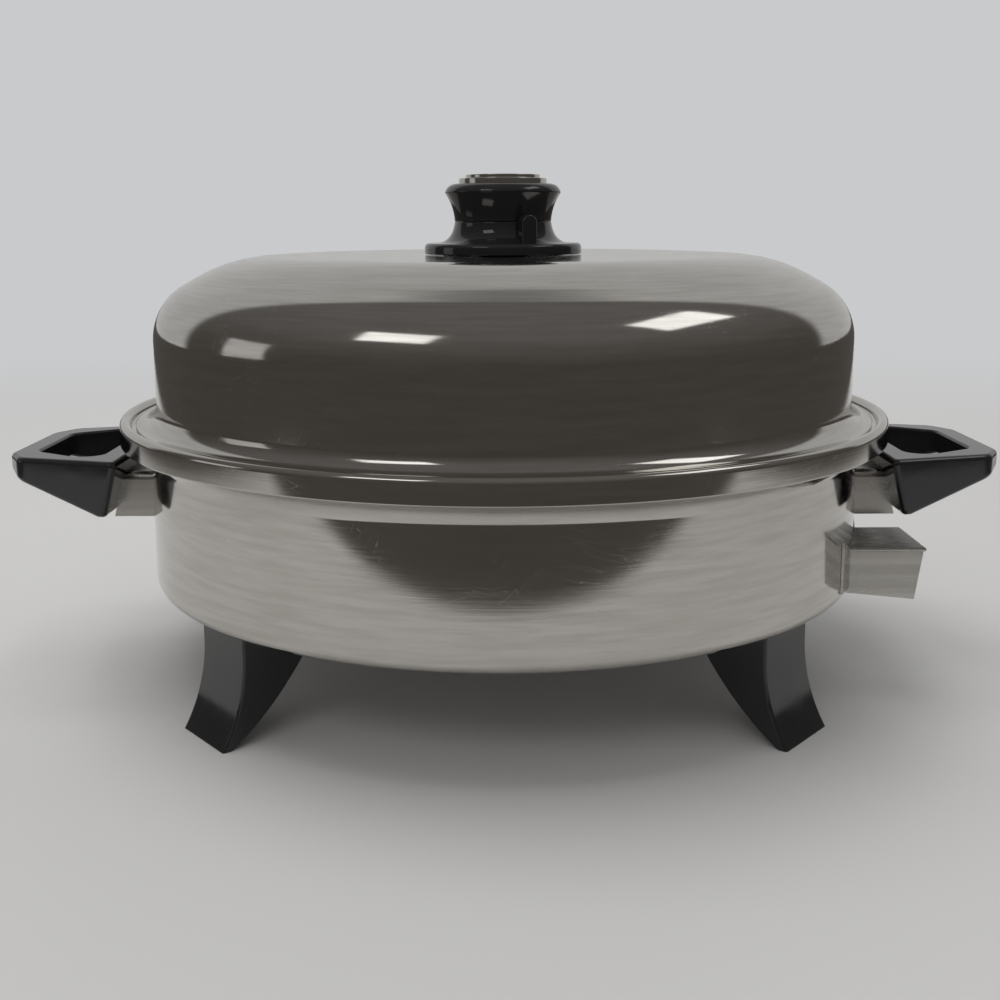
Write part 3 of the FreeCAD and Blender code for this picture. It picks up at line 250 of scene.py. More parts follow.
class Lathe:
    """Turns a section about the axis into a mesh with exact normals."""

    def __init__(self, name: str, stations: list[Station], segments: int) -> None:
        """Keeps what is turned.

        Args:
            name: Name of the piece.
            stations: Section, open at the axis, in millimetres.
            segments: Faces in one turn.
        """
        self.name = name
        self.stations = stations
        self.segments = segments

    def build(self) -> bpy.types.Object:
        """Returns the turned piece."""
        turn = np.linspace(0.0, 2.0 * math.pi, self.segments, endpoint=False)
        cosines, sines = np.cos(turn), np.sin(turn)
        verts: list[Triple] = []
        rings: list[list[int]] = []
        for station in self.stations:
            r, z = station.point * MM
            if r < AXIS_REACH:
                rings.append([len(verts)] * self.segments)
                verts.append((0.0, 0.0, float(z)))
                continue
            first = len(verts)
            rings.append(list(range(first, first + self.segments)))
            heights = [float(z)] * self.segments
            verts.extend(zip((r * cosines).tolist(), (r * sines).tolist(), heights))
        faces: list[tuple[int, ...]] = []
        normals: list[Triple] = []
        flip = self._runs_inward()
        for ring in range(len(self.stations) - 1):
            low, high = rings[ring], rings[ring + 1]
            start = self.stations[ring].normal_out
            end = self.stations[ring + 1].normal_in
            for step in range(self.segments):
                after = (step + 1) % self.segments
                ends = [(low[step], start, step), (low[after], start, after),
                        (high[after], end, after), (high[step], end, step)]
                if flip:
                    ends.reverse()
                seen: list[int] = []
                kept = []
                for entry in ends:
                    if entry[0] not in seen:
                        seen.append(entry[0])
                        kept.append(entry)
                if len(kept) < 3:
                    continue
                faces.append(tuple(entry[0] for entry in kept))
                for _, (out, up), place in kept:
                    normals.append((out * cosines[place], out * sines[place], up))
        mesh = bpy.data.meshes.new(self.name)
        mesh.from_pydata(verts, [], faces)
        mesh.polygons.foreach_set("use_smooth", [True] * len(mesh.polygons))
        mesh.normals_split_custom_set(normals)
        mesh.update()
        return link_piece(bpy.data.objects.new(self.name, mesh))

    def _runs_inward(self) -> bool:
        """Returns whether faces have to be reversed to face along the normals."""
        for first, second in zip(self.stations, self.stations[1:]):
            run = second.point - first.point
            if np.linalg.norm(run) > 1e-3 and max(first.point[0], second.point[0]) > 1.0:
                return float(left_of(run) @ first.normal_out) > 0.0
        return False


def link_piece(piece: bpy.types.Object) -> bpy.types.Object:
    """Puts a new object in the scene and returns it."""
    bpy.context.scene.collection.objects.link(piece)
    return piece


def set_material(piece: bpy.types.Object, material: Material) -> None:
    """Gives a piece one material in all its slots."""
    if not piece.material_slots:
        piece.data.materials.append(material)
    for slot in piece.material_slots:
        slot.material = material


def hand_over(piece: bpy.types.Object, body: str, slot: str, *nodes: str) -> None:
    """Ties a new piece to its body and hides the nodes that it stands for.

    Args:
        piece: The new piece.
        body: Body that it rides on.
        slot: Material slot of the record; not used.
        nodes: Nodes that it replaces.
    """
    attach(piece, body)
    if nodes:
        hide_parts(*nodes)
    LOG.info("%s rides on %s", piece.name, body)


# Shader building


class Graph:
    """Adds and joins nodes of one node tree."""

    def __init__(self, tree: NodeTree) -> None:
        """Keeps the tree that nodes are added to."""
        self.tree = tree
        self.material: Material | None = None
        self.place = 0

    def add(self, kind: str, **settings: object) -> bpy.types.Node:
        """Adds a node.

        Args:
            kind: Node type name.
            settings: Properties to set on the node.

        Returns:
            The new node.
        """
        node = self.tree.nodes.new(kind)
        node.location = (self.place * 40.0, -self.place * 14.0)
        self.place += 1
        for key, value in settings.items():
            setattr(node, key, value)
        return node

    def feed(self, socket: Socket, value: object) -> None:
        """Joins an output to a socket, or sets the socket to a plain value."""
        if isinstance(value, Socket):
            self.tree.links.new(value, socket)
        else:
            socket.default_value = value

    def math(self, operation: str, *values: object, clamp: bool = False) -> Socket:
        """Adds a math node on the given values and returns its output."""
        node = self.add("ShaderNodeMath", operation=operation, use_clamp=clamp)
        for socket, value in zip(node.inputs, values):
            self.feed(socket, value)
        return node.outputs[0]

    def times(self, first: object, second: object) -> Socket:
        """Multiplies two values and returns the product."""
        return self.math("MULTIPLY", first, second)

    def scale_add(self, value: object, factor: object, added: object) -> Socket:
        """Scales a value, adds another and returns the sum."""
        return self.math("MULTIPLY_ADD", value, factor, added)

    def vector_math(self, operation: str, *values: object) -> Socket:
        """Adds a vector math node on the given values and returns its output."""
        node = self.add("ShaderNodeVectorMath", operation=operation)
        for socket, value in zip(node.inputs, values):
            self.feed(socket, value)
        return node.outputs["Value" if operation in ("LENGTH", "DOT_PRODUCT") else "Vector"]

    def split(self, vector: Socket) -> tuple:
        """Splits a vector and returns its x, y and z outputs."""
        node = self.add("ShaderNodeSeparateXYZ")
        self.feed(node.inputs[0], vector)
        return node.outputs[0], node.outputs[1], node.outputs[2]

    def join(self, x: object, y: object, z: object) -> Socket:
        """Joins three values into a vector and returns it."""
        node = self.add("ShaderNodeCombineXYZ")
        for socket, value in zip(node.inputs, (x, y, z)):
            self.feed(socket, value)
        return node.outputs[0]

    def ramp(self, value: object, low: object, high: object, to_low: object = 0.0,
             to_high: object = 1.0) -> Socket:
        """Maps a value smoothly from one range to another, held at the ends.

        Args:
            value: Value to map.
            low: Start of its range.
            high: End of its range.
            to_low: Result at the start.
            to_high: Result at the end.

        Returns:
            The mapped value.
        """
        node = self.add("ShaderNodeMapRange", interpolation_type="SMOOTHSTEP")
        for socket, entry in zip(node.inputs, (value, low, high, to_low, to_high)):
            self.feed(socket, entry)
        return node.outputs[0]

    def noise(self, vector: object, scale: object, detail: float = 2.0,
              roughness: float = 0.5) -> Socket:
        """Adds a noise texture and returns its value."""
        node = self.add("ShaderNodeTexNoise", noise_dimensions="3D")
        self.feed(node.inputs["Vector"], vector)
        self.feed(node.inputs["Scale"], scale)
        node.inputs["Detail"].default_value = detail
        node.inputs["Roughness"].default_value = roughness
        return node.outputs["Fac"]

    def blend(self, share: object, first: object, second: object) -> Socket:
        """Mixes two colours and returns the result."""
        node = self.add("ShaderNodeMix", data_type="RGBA")
        self.feed(node.inputs["Factor"], share)
        self.feed(node.inputs["A"], first)
        self.feed(node.inputs["B"], second)
        sockets = [out for out in node.outputs if out.type == "RGBA"]
        return sockets[0]

    def group(self, tree: NodeTree, **values: object) -> bpy.types.Node:
        """Places an effect group.

        Args:
            tree: The group's node tree.
            values: Inputs by name, with spaces written as underscores.

        Returns:
            The group node.
        """
        node = self.add("ShaderNodeGroup")
        node.node_tree = tree
        for name, value in values.items():
            self.feed(node.inputs[name.replace("_", " ")], value)
        return node


class Effects:
    """Shader effects that more than one finish uses, each built once as a node group."""

    @staticmethod
    def _new(name: str, inputs: dict[str, object], outputs: list[str]) -> tuple:
        """Starts a node group.

        Args:
            name: Name of the group.
            inputs: Defaults of its inputs by name, beside its Vector input.
            outputs: Names of its value outputs.

        Returns:
            Graph of the group, its input node, its Vector value and its output node.
        """
        tree = bpy.data.node_groups.new(name, "ShaderNodeTree")
        tree.interface.new_socket("Vector", in_out="INPUT", socket_type="NodeSocketVector")
        for label, default in inputs.items():
            kind = "NodeSocketVector" if isinstance(default, tuple) else "NodeSocketFloat"
            socket = tree.interface.new_socket(label, in_out="INPUT", socket_type=kind)
            socket.default_value = default
        for label in outputs:
            tree.interface.new_socket(label, in_out="OUTPUT", socket_type="NodeSocketFloat")
        graph = Graph(tree)
        given = graph.add("NodeGroupInput")
        return graph, given, given.outputs["Vector"], graph.add("NodeGroupOutput")

    @cache
    def ring_grain(self) -> NodeTree:
        """Returns fine grain that runs round the axis, with a height and a slower streak value."""
        graph, given, own, result = self._new(
            "ring_grain", {"Around": 3.0, "Across": 1500.0}, ["Height", "Streak"])
        x, y, z = graph.split(own)
        radius = graph.math("SQRT", graph.math("ADD", graph.times(x, x), graph.times(y, y)))
        safe = graph.math("MAXIMUM", radius, 0.001)
        level = graph.math("SUBTRACT", radius, z)
        around = given.outputs["Around"]
        cosine = graph.times(graph.math("DIVIDE", x, safe), around)
        sine = graph.times(graph.math("DIVIDE", y, safe), around)
        fine = graph.join(cosine, sine, graph.times(level, given.outputs["Across"]))
        slow = graph.join(cosine, sine, graph.times(level, STREAKS_PER_METRE))
        fine_value = graph.noise(fine, 1.0, 3.0, 0.65)
        slow_value = graph.noise(slow, 1.0, 3.0, 0.6)
        graph.feed(result.inputs["Height"], fine_value)
        graph.feed(result.inputs["Streak"], slow_value)
        return graph.tree

    @cache
    def line_grain(self) -> NodeTree:
        """Returns fine straight grain along a chosen direction, as a height and a slower streak."""
        graph, given, own, result = self._new(
            "line_grain", {"Stretch": (60.0, 1200.0, 1200.0)}, ["Height", "Streak"])
        scaled = graph.vector_math("MULTIPLY", own, given.outputs["Stretch"])
        graph.feed(result.inputs["Height"], graph.noise(scaled, 1.0, 3.0, 0.6))
        graph.feed(result.inputs["Streak"], graph.noise(scaled, 0.12, 2.0, 0.5))
        return graph.tree

    @cache
    def scratches(self) -> NodeTree:
        """Returns thin handling scratches, short and mostly level, as a mask."""
        graph, given, own, result = self._new("scratches", {"Scale": 60.0, "Amount": 0.5}, ["Mask"])
        total: object = 0.0
        for turn, stretch in ((0.12, 9.0), (-0.35, 6.0), (1.1, 7.0)):
            spin = graph.add("ShaderNodeVectorRotate", rotation_type="AXIS_ANGLE")
            graph.feed(spin.inputs["Vector"], own)
            spin.inputs["Axis"].default_value = (0.3, 1.0, 0.2)
            spin.inputs["Angle"].default_value = turn
            drawn = graph.vector_math("MULTIPLY", spin.outputs[0], (1.0, 1.0, stretch))
            value = graph.noise(drawn, given.outputs["Scale"], 1.0, 0.4)
            off_line = graph.math("ABSOLUTE", graph.math("SUBTRACT", value, 0.5))
            line = graph.ramp(off_line, 0.0, 0.006, 1.0, 0.0)
            wider = graph.times(given.outputs["Scale"], 0.7)
            place = graph.noise(spin.outputs[0], wider, 1.0, 0.5)
            here = graph.ramp(place, 0.56, 0.68)
            total = graph.math("MAXIMUM", total, graph.times(line, here))
        graph.feed(result.inputs["Mask"], graph.times(total, given.outputs["Amount"]))
        return graph.tree

    @cache
    def smudges(self) -> NodeTree:
        """Returns soft wiped patches as a mask."""
        graph, given, own, result = self._new("smudges", {"Scale": 14.0}, ["Mask", "Fine"])
        wide = graph.noise(own, given.outputs["Scale"], 3.0, 0.55)
        finer = graph.times(given.outputs["Scale"], 9.0)
        fine = graph.noise(own, finer, 4.0, 0.6)
        graph.feed(result.inputs["Mask"], graph.ramp(wide, 0.38, 0.66))
        graph.feed(result.inputs["Fine"], fine)
        return graph.tree

    @cache
    def edge_wear(self) -> NodeTree:
        """Returns the outer edges of a piece, broken up as if by use, as a mask."""
        graph, given, own, result = self._new("edge_wear", {"Reach": 0.0008}, ["Mask"])
        bevel = graph.add("ShaderNodeBevel", samples=4)
        graph.feed(bevel.inputs["Radius"], given.outputs["Reach"])
        surface = graph.add("ShaderNodeNewGeometry")
        match = graph.vector_math("DOT_PRODUCT", bevel.outputs[0], surface.outputs["True Normal"])
        edge = graph.ramp(match, 0.985, 0.86, 0.0, 1.0)
        broken = graph.noise(own, 420.0, 3.0, 0.6)
        mask = graph.times(edge, graph.ramp(broken, 0.42, 0.62))
        graph.feed(result.inputs["Mask"], mask)
        return graph.tree

    @cache
    def moulded(self) -> NodeTree:
        """Returns the slight waviness and fine pits of moulded plastic, as heights and a tone."""
        graph, given, own, result = self._new("moulded", {"Scale": 300.0}, ["Height", "Tone"])
        wave = graph.noise(own, given.outputs["Scale"], 2.0, 0.5)
        finer = graph.times(given.outputs["Scale"], 6.0)
        pits = graph.noise(own, finer, 2.0, 0.6)
        height = graph.math("ADD", graph.times(wave, 0.8), graph.times(pits, 0.2))
        graph.feed(result.inputs["Height"], height)
        graph.feed(result.inputs["Tone"], graph.noise(own, 45.0, 4.0, 0.6))
        return graph.tree

    @cache
    def dust(self) -> NodeTree:
        """Returns fine specks that settle on faces that look up, as a mask."""
        graph, given, own, result = self._new("dust", {"Amount": 0.3}, ["Mask"])
        surface = graph.add("ShaderNodeNewGeometry")
        _, _, up = graph.split(surface.outputs["Normal"])
        speck = graph.add("ShaderNodeTexVoronoi", feature="F1")
        graph.feed(speck.inputs["Vector"], own)
        speck.inputs["Scale"].default_value = 700.0
        dots = graph.ramp(speck.outputs["Distance"], 0.16, 0.05, 0.0, 1.0)
        thin = graph.ramp(graph.noise(own, 90.0, 3.0, 0.7), 0.5, 0.72)
        film = graph.math("ADD", graph.times(dots, thin), graph.times(thin, 0.12))
        facing = graph.ramp(up, 0.1, 0.9)
        graph.feed(result.inputs["Mask"], graph.math(
            "MULTIPLY", graph.times(film, facing), given.outputs["Amount"], clamp=True))
        return graph.tree


class Grain(Enum):
    """How the brushing of a metal runs, with the stretch of grain that isn't a ring."""

    RING = None
    ALONG_X = (60.0, 1800.0, 1800.0)
    NONE = (400.0, 400.0, 400.0)


def start_material(name: str) -> tuple[Graph, bpy.types.Node, Socket]:
    """Starts a material.

    Args:
        name: Name of the material.

    Returns:
        Its graph, its surface shader and the piece's own coordinates.
    """
    material = bpy.data.materials.new(name)
    material.use_nodes = True
    material.node_tree.nodes.clear()
    graph = Graph(material.node_tree)
    graph.material = material
    shader = graph.add("ShaderNodeBsdfPrincipled")
    output = graph.add("ShaderNodeOutputMaterial")
    graph.feed(output.inputs["Surface"], shader.outputs[0])
    own = graph.add("ShaderNodeTexCoord").outputs["Object"]
    return graph, shader, own


def add_bump(graph: Graph, shader: bpy.types.Node, height: Socket, depth: float,
             strength: float) -> None:
    """Gives a shader fine relief from a height value."""
    bump = graph.add("ShaderNodeBump")
    bump.inputs["Strength"].default_value = strength
    bump.inputs["Distance"].default_value = depth
    graph.feed(bump.inputs["Height"], height)
    graph.feed(shader.inputs["Normal"], bump.outputs[0])


@dataclass(frozen=True)
class SteelFinish:
    """Stainless or plated metal with grain, wiped patches, scratches and light wear."""

    name: str
    light: Triple = (0.56, 0.54, 0.51)
    dark: Triple = (0.47, 0.45, 0.42)
    smooth: float = 0.055
    rough: float = 0.13
    grain: Grain = Grain.RING
    around: float = 4.5
    across: float = 2400.0
    relief: float = 0.9
    scratch_amount: float = 0.6
    scratch_colour: Triple = (0.8, 0.8, 0.78)
    smudge_share: float = 0.2
    fine_share: float = 0.3
    scratch_rough: float = 0.22
    scratch_depth: float = 0.6
    bump_depth: float = 0.000004

    def build(self, effects: Effects) -> Material:
        """Returns the material."""
        graph, shader, own = start_material(self.name)
        if self.grain is Grain.RING:
            grain = graph.group(effects.ring_grain(), Vector=own, Around=self.around,
                                Across=self.across)
        else:
            grain = graph.group(effects.line_grain(), Vector=own, Stretch=self.grain.value)
        smudge = graph.group(effects.smudges(), Vector=own, Scale=14.0)
        scratch = graph.group(effects.scratches(), Vector=own, Scale=70.0,
                              Amount=self.scratch_amount)
        streak = graph.ramp(grain.outputs["Streak"], 0.3, 0.7)
        tone = graph.scale_add(smudge.outputs["Mask"], self.smudge_share,
                               graph.times(streak, 1.0 - self.smudge_share))
        colour = graph.blend(tone, (*self.light, 1.0), (*self.dark, 1.0))
        colour = graph.blend(graph.times(scratch.outputs["Mask"], 0.5), colour,
                             (*self.scratch_colour, 1.0))
        graph.feed(shader.inputs["Base Color"], colour)
        shader.inputs["Metallic"].default_value = 1.0
        span = self.rough - self.smooth
        rough = graph.scale_add(tone, span * (1.0 - self.fine_share), self.smooth)
        rough = graph.scale_add(smudge.outputs["Fine"], span * self.fine_share, rough)
        rough = graph.scale_add(scratch.outputs["Mask"], self.scratch_rough, rough)
        graph.feed(shader.inputs["Roughness"], rough)
        height = graph.scale_add(scratch.outputs["Mask"], -self.scratch_depth,
                                 grain.outputs["Height"])
        add_bump(graph, shader, height, self.bump_depth, self.relief)
        LOG.info("finish %s", self.name)
        return graph.material


@dataclass(frozen=True)
class PlasticFinish:
    """Black moulded phenolic with a polished skin, rubbed edges and a little dust."""

    name: str
    colour: Triple = (0.011, 0.011, 0.012)
    worn: Triple = (0.05, 0.048, 0.045)
    smooth: float = 0.035
    rough: float = 0.1
    relief: float = 0.1
    dust_amount: float = 0.25
    edge_reach: float = 0.0007
    dust_colour: Triple = (0.32, 0.3, 0.28)
    bump_depth: float = 0.00008
    ior: float = 1.56

    def build(self, effects: Effects) -> Material:
        """Returns the material."""
        graph, shader, own = start_material(self.name)
        skin = graph.group(effects.moulded(), Vector=own, Scale=160.0)
        wear = graph.group(effects.edge_wear(), Vector=own, Reach=self.edge_reach)
        dust = graph.group(effects.dust(), Vector=own, Amount=self.dust_amount)
        scratch = graph.group(effects.scratches(), Vector=own, Scale=110.0, Amount=0.5)
        colour = graph.blend(graph.times(wear.outputs["Mask"], 0.5), (*self.colour, 1.0),
                             (*self.worn, 1.0))
        colour = graph.blend(graph.times(dust.outputs["Mask"], 0.5), colour,
                             (*self.dust_colour, 1.0))
        graph.feed(shader.inputs["Base Color"], colour)
        tone = graph.ramp(skin.outputs["Tone"], 0.35, 0.7)
        rough = graph.scale_add(tone, self.rough - self.smooth, self.smooth)
        rough = graph.scale_add(wear.outputs["Mask"], 0.2, rough)
        rough = graph.scale_add(dust.outputs["Mask"], 0.5, rough)
        rough = graph.scale_add(scratch.outputs["Mask"], 0.12, rough)
        graph.feed(shader.inputs["Roughness"], rough)
        shader.inputs["IOR"].default_value = self.ior
        add_bump(graph, shader, skin.outputs["Height"], self.bump_depth, self.relief)
        LOG.info("finish %s", self.name)
        return graph.material


@dataclass(frozen=True)
class CeramicFinish:
    """Unglazed ceramic with a fine grit and slight stains."""

    name: str
    colour: Triple = (0.78, 0.75, 0.68)
    stain: Triple = (0.5, 0.44, 0.36)

    def build(self, effects: Effects) -> Material:
        """Returns the material."""
        graph, shader, own = start_material(self.name)
        skin = graph.group(effects.moulded(), Vector=own, Scale=900.0)
        smudge = graph.group(effects.smudges(), Vector=own, Scale=60.0)
        colour = graph.blend(graph.times(smudge.outputs["Mask"], 0.5), (*self.colour, 1.0),
                             (*self.stain, 1.0))
        graph.feed(shader.inputs["Base Color"], colour)
        graph.feed(shader.inputs["Roughness"], graph.scale_add(skin.outputs["Tone"], 0.3, 0.5))
        add_bump(graph, shader, skin.outputs["Height"], 0.0002, 0.4)
        return graph.material


@dataclass(frozen=True)
class SheathFinish:
    """Element sheath darkened by heat in bands and blotches."""

    name: str
    dark: Triple = (0.10, 0.095, 0.09)
    light: Triple = (0.34, 0.31, 0.27)

    def build(self, effects: Effects) -> Material:
        """Returns the material."""
        graph, shader, own = start_material(self.name)
        smudge = graph.group(effects.smudges(), Vector=own, Scale=40.0)
        skin = graph.group(effects.moulded(), Vector=own, Scale=700.0)
        graph.feed(shader.inputs["Base Color"],
                   graph.blend(smudge.outputs["Mask"], (*self.dark, 1.0), (*self.light, 1.0)))
        shader.inputs["Metallic"].default_value = 1.0
        graph.feed(shader.inputs["Roughness"], graph.scale_add(smudge.outputs["Fine"], 0.4, 0.3))
        add_bump(graph, shader, skin.outputs["Height"], 0.0001, 0.3)
        return graph.material


# Pieces of the pan and its body


@dataclass
class PanBody:
    """Cooking pan with its rolled rim, and the body shell round it."""

    pan_corners: list[Corner] = field(default_factory=lambda: [
        Corner(0.0, 60.5), Corner(139.2, 60.5, 6.0), Corner(139.2, 107.3, 2.6),
        Corner(151.1, 107.3, 0.9), Corner(151.1, 110.5, 2.2), Corner(155.5, 110.5, 2.2),
        Corner(155.5, 101.2),
    ])
    pan_sheet: float = 1.2
    shell_corners: list[Corner] = field(default_factory=lambda: [
        Corner(0.0, 43.5), Corner(144.0, 43.5, 4.0), Corner(144.0, 100.5, 8.0),
        Corner(154.2, 100.5, 1.3), Corner(154.2, 105.5),
    ])
    shell_sheet: float = 1.0
    segments: int = 288

    def build(self, steel: Material) -> None:
        """Makes the pan and the shell and dresses them in steel."""
        pan = Lathe("cooking_pan", sheet_section(self.pan_corners, self.pan_sheet, Side.RIGHT),
                    self.segments).build()
        set_material(pan, steel)
        hand_over(pan, "pan", "polished_steel", "inner_pan")
        shell = Lathe("body_shell", sheet_section(self.shell_corners, self.shell_sheet, Side.LEFT),
                      self.segments).build()
        set_material(shell, steel)
        hand_over(shell, "pan", "polished_steel", "outer_shell")


@dataclass
class LidDome:
    """Domed lid with a flat crown and a flared edge."""

    corners: list[Corner] = field(default_factory=lambda: [
        Corner(0.0, 172.5), Corner(110.0, 172.5, 60.0), Corner(141.3, 154.5, 24.0),
        Corner(141.3, 108.5, 6.5), Corner(149.3, 108.5),
    ])
    sheet: float = 1.0
    segments: int = 288

    def build(self, steel: Material) -> None:
        """Makes the lid and dresses it in steel."""
        section = sheet_section(self.corners, self.sheet, Side.RIGHT)
        lid = Lathe("domed_lid", section, self.segments).build()
        set_material(lid, steel)
        hand_over(lid, "lid", "polished_steel", "lid_dome")


@dataclass
class Knob:
    """Knob with its let-in cap, the turning vent collar and the collar's thumb tab."""

    lid_top: float = 172.5
    hub_radius: float = 9.0
    waist_radius: float = 19.9
    waist_height: float = 13.33
    widest_radius: float = 23.8
    widest_height: float = 25.1
    top_radius: float = 19.0
    top_height: float = 28.6
    seat_radius: float = 18.05
    seat_depth: float = 1.0
    cap_height: float = 3.6
    cap_step_radius: float = 15.2
    cap_step_height: float = 1.5
    collar_radius: float = 32.3
    collar_foot: float = 0.3
    collar_edge: float = 2.8
    collar_inset: float = 1.4
    collar_shoulder: float = 4.7
    collar_top: float = 13.3
    collar_hollow: float = 3.6
    collar_edge_bulge: float = -0.4
    flank_hollow: float = 0.9
    shoulder_bulge: float = -1.1
    play: float = 0.05
    rounding: float = 0.55
    pitch: float = 0.9
    cap_rounding: float = 0.5
    cap_pitch: float = 0.8
    tab_width: float = 6.3
    tab_inner: float = 21.8
    tab_outer: float = 26.8
    tab_height: float = 16.0
    tab_azimuth: float = -66.4
    tab_rounding: float = 0.0007
    tab_steps: int = 16
    tab_rim: float = 0.9
    segments: int = 160

    def _grip(self) -> bpy.types.Object:
        """Returns the flared grip on its hub."""
        z = self.lid_top
        runs = [
            (self.hub_radius, z),
            (self.hub_radius, z + self.waist_height),
            (self.waist_radius, z + self.waist_height),
            Arc(self.widest_radius, z + self.widest_height, self.flank_hollow),
            Arc(self.top_radius, z + self.top_height, self.shoulder_bulge),
            (self.seat_radius, z + self.top_height),
            (self.seat_radius, z + self.top_height - self.seat_depth),
            (0.0, z + self.top_height - self.seat_depth),
        ]
        stations = soft_outline((0.0, z), runs, self.rounding, self.pitch)
        return Lathe("knob_body", stations, self.segments).build()

    def _cap(self) -> bpy.types.Object:
        """Returns the stepped cap."""
        base = self.lid_top + self.top_height - self.seat_depth
        top = self.lid_top + self.top_height + self.cap_height
        step = top - self.cap_step_height
        runs = [
            (self.seat_radius - self.play, base),
            (self.seat_radius - self.play, step),
            (self.cap_step_radius, step),
            (self.cap_step_radius, top),
            (0.0, top),
        ]
        stations = soft_outline((0.0, base), runs, self.cap_rounding, self.cap_pitch)
        return Lathe("knob_disc", stations, self.segments).build()

    def _tab(self) -> bpy.types.Object:
        """Returns the thumb tab with softened edges."""
        half = self.tab_width / 2.0 * MM
        foot = (self.lid_top + self.collar_edge) * MM
        arch = (self.lid_top + self.tab_height) * MM - half
        outline = [(half, foot), (half, arch)]
        for step in range(1, self.tab_steps):
            angle = math.pi * step / self.tab_steps
            outline.append((half * math.cos(angle), arch + half * math.sin(angle)))
        outline += [(-half, arch), (-half, foot)]
        shape = bmesh.new()
        verts = [shape.verts.new((self.tab_inner * MM, y, z)) for y, z in outline]
        face = shape.faces.new(verts)
        grown = bmesh.ops.extrude_face_region(shape, geom=[face])
        moved = [item for item in grown["geom"] if isinstance(item, bmesh.types.BMVert)]
        depth = (self.tab_outer - self.tab_inner) * MM
        bmesh.ops.translate(shape, verts=moved, vec=(depth, 0.0, 0.0))
        bmesh.ops.recalc_face_normals(shape, faces=shape.faces)
        rims = [edge for edge in shape.edges
                if edge.is_manifold and edge.calc_face_angle() > self.tab_rim]
        bmesh.ops.bevel(shape, geom=rims, offset=self.tab_rounding, segments=4, profile=0.5,
                        affect="EDGES")
        mesh = bpy.data.meshes.new("thumb_tab")
        shape.to_mesh(mesh)
        shape.free()
        mesh.polygons.foreach_set("use_smooth", [True] * len(mesh.polygons))
        mesh.transform(Matrix.Rotation(math.radians(self.tab_azimuth), 4, "Z"))
        tab = link_piece(bpy.data.objects.new("thumb_tab", mesh))
        tab.modifiers.new("weighted", "WEIGHTED_NORMAL").keep_sharp = False
        return tab

    def _collar(self) -> bpy.types.Object:
        """Returns the collar."""
        z = self.lid_top
        shoulder = self.collar_radius - self.collar_inset
        runs = [
            (self.collar_radius, z + self.collar_foot),
            (self.collar_radius, z + self.collar_edge),
            Arc(shoulder, z + self.collar_shoulder, self.collar_edge_bulge),
            Arc(self.waist_radius, z + self.collar_top, self.collar_hollow),
            (self.hub_radius + self.play, z + self.collar_top),
            (0.0, z + self.collar_top),
        ]
        stations = soft_outline((0.0, z + self.collar_foot), runs, self.rounding, self.pitch)
        return Lathe("collar", stations, self.segments).build()

    def build(self, plastic: Material, metal: Material) -> None:
        """Makes the knob's pieces and dresses them."""
        grip = self._grip()
        set_material(grip, plastic)
        hand_over(grip, "lid", "gloss_black", "knob_grip")
        cap = self._cap()
        set_material(cap, metal)
        hand_over(cap, "lid", "cap_metal", "knob_cap")
        collar = self._collar()
        set_material(collar, plastic)
        hand_over(collar, "vent", "gloss_black", "vent_collar")
        tab = self._tab()
        set_material(tab, plastic)
        hand_over(tab, "vent", "gloss_black")


@dataclass
class CarriedPieces:
    """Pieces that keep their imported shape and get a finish."""

    finishes: dict[str, list[str]] = field(default_factory=lambda: {
        "gloss_phenolic": ["right_handle_grip", "left_handle_grip"],
        "leg_phenolic": ["front_left_leg", "front_right_leg", "rear_left_leg", "rear_right_leg"],
        "bracket_steel": ["right_handle_bracket", "left_handle_bracket"],
        "shroud_steel": ["socket_shroud", "shroud_rivets"],
        "plated_steel": ["handle_rivets", "handle_screws", "leg_studs", "leg_nuts", "knob_bolt",
                         "knob_washer", "vent_shutter"],
        "brass": ["handle_inserts", "knob_insert"],
        "nickel": ["terminal_pins", "probe_tube"],
        "aluminium": ["heat_spreader"],
        "element_sheath": ["heating_element"],
        "ceramic": ["terminal_block", "terminal_bushings"],
    })

    def dress(self, materials: dict[str, Material]) -> None:
        """Gives every carried piece its finish."""
        for finish, nodes in self.finishes.items():
            for node in nodes:
                set_material(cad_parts[node], materials[finish])
                LOG.info("%s gets %s", node, finish)


# Stage, light and camera


@dataclass(frozen=True)
class Lamp:
    """A rectangular lamp that lights the skillet and isn't seen or mirrored itself."""

    name: str
    place: Triple
    size: tuple[float, float]
    watts: float


@dataclass(frozen=True)
class Panel:
    """A soft rectangle of the mirrored room.

    Its half width and half height are each given where it starts and stops to fade.
    """

    aim: Triple
    width: tuple[float, float]
    height: tuple[float, float]
    tone: float


LAMP_AIM = Vector((0.0, 0.0, 0.1))
LAMPS = (
    Lamp("overhead", (-0.25, -0.05, 1.5), (1.2, 0.9), 11.0),
    Lamp("back_fill", (0.3, 1.5, 1.2), (1.6, 0.8), 7.0),
    Lamp("front_fill", (-0.5, -1.6, 1.3), (1.2, 0.5), 5.0),
)
PANELS = (
    Panel((-0.47, -0.58, 0.66), (0.16, 0.20), (0.09, 0.13), 1.7),
    Panel((0.62, -0.07, 0.78), (0.22, 0.27), (0.10, 0.14), 1.7),
    Panel((-0.985, -0.05, 0.1), (0.14, 0.17), (0.17, 0.22), 0.6),
)


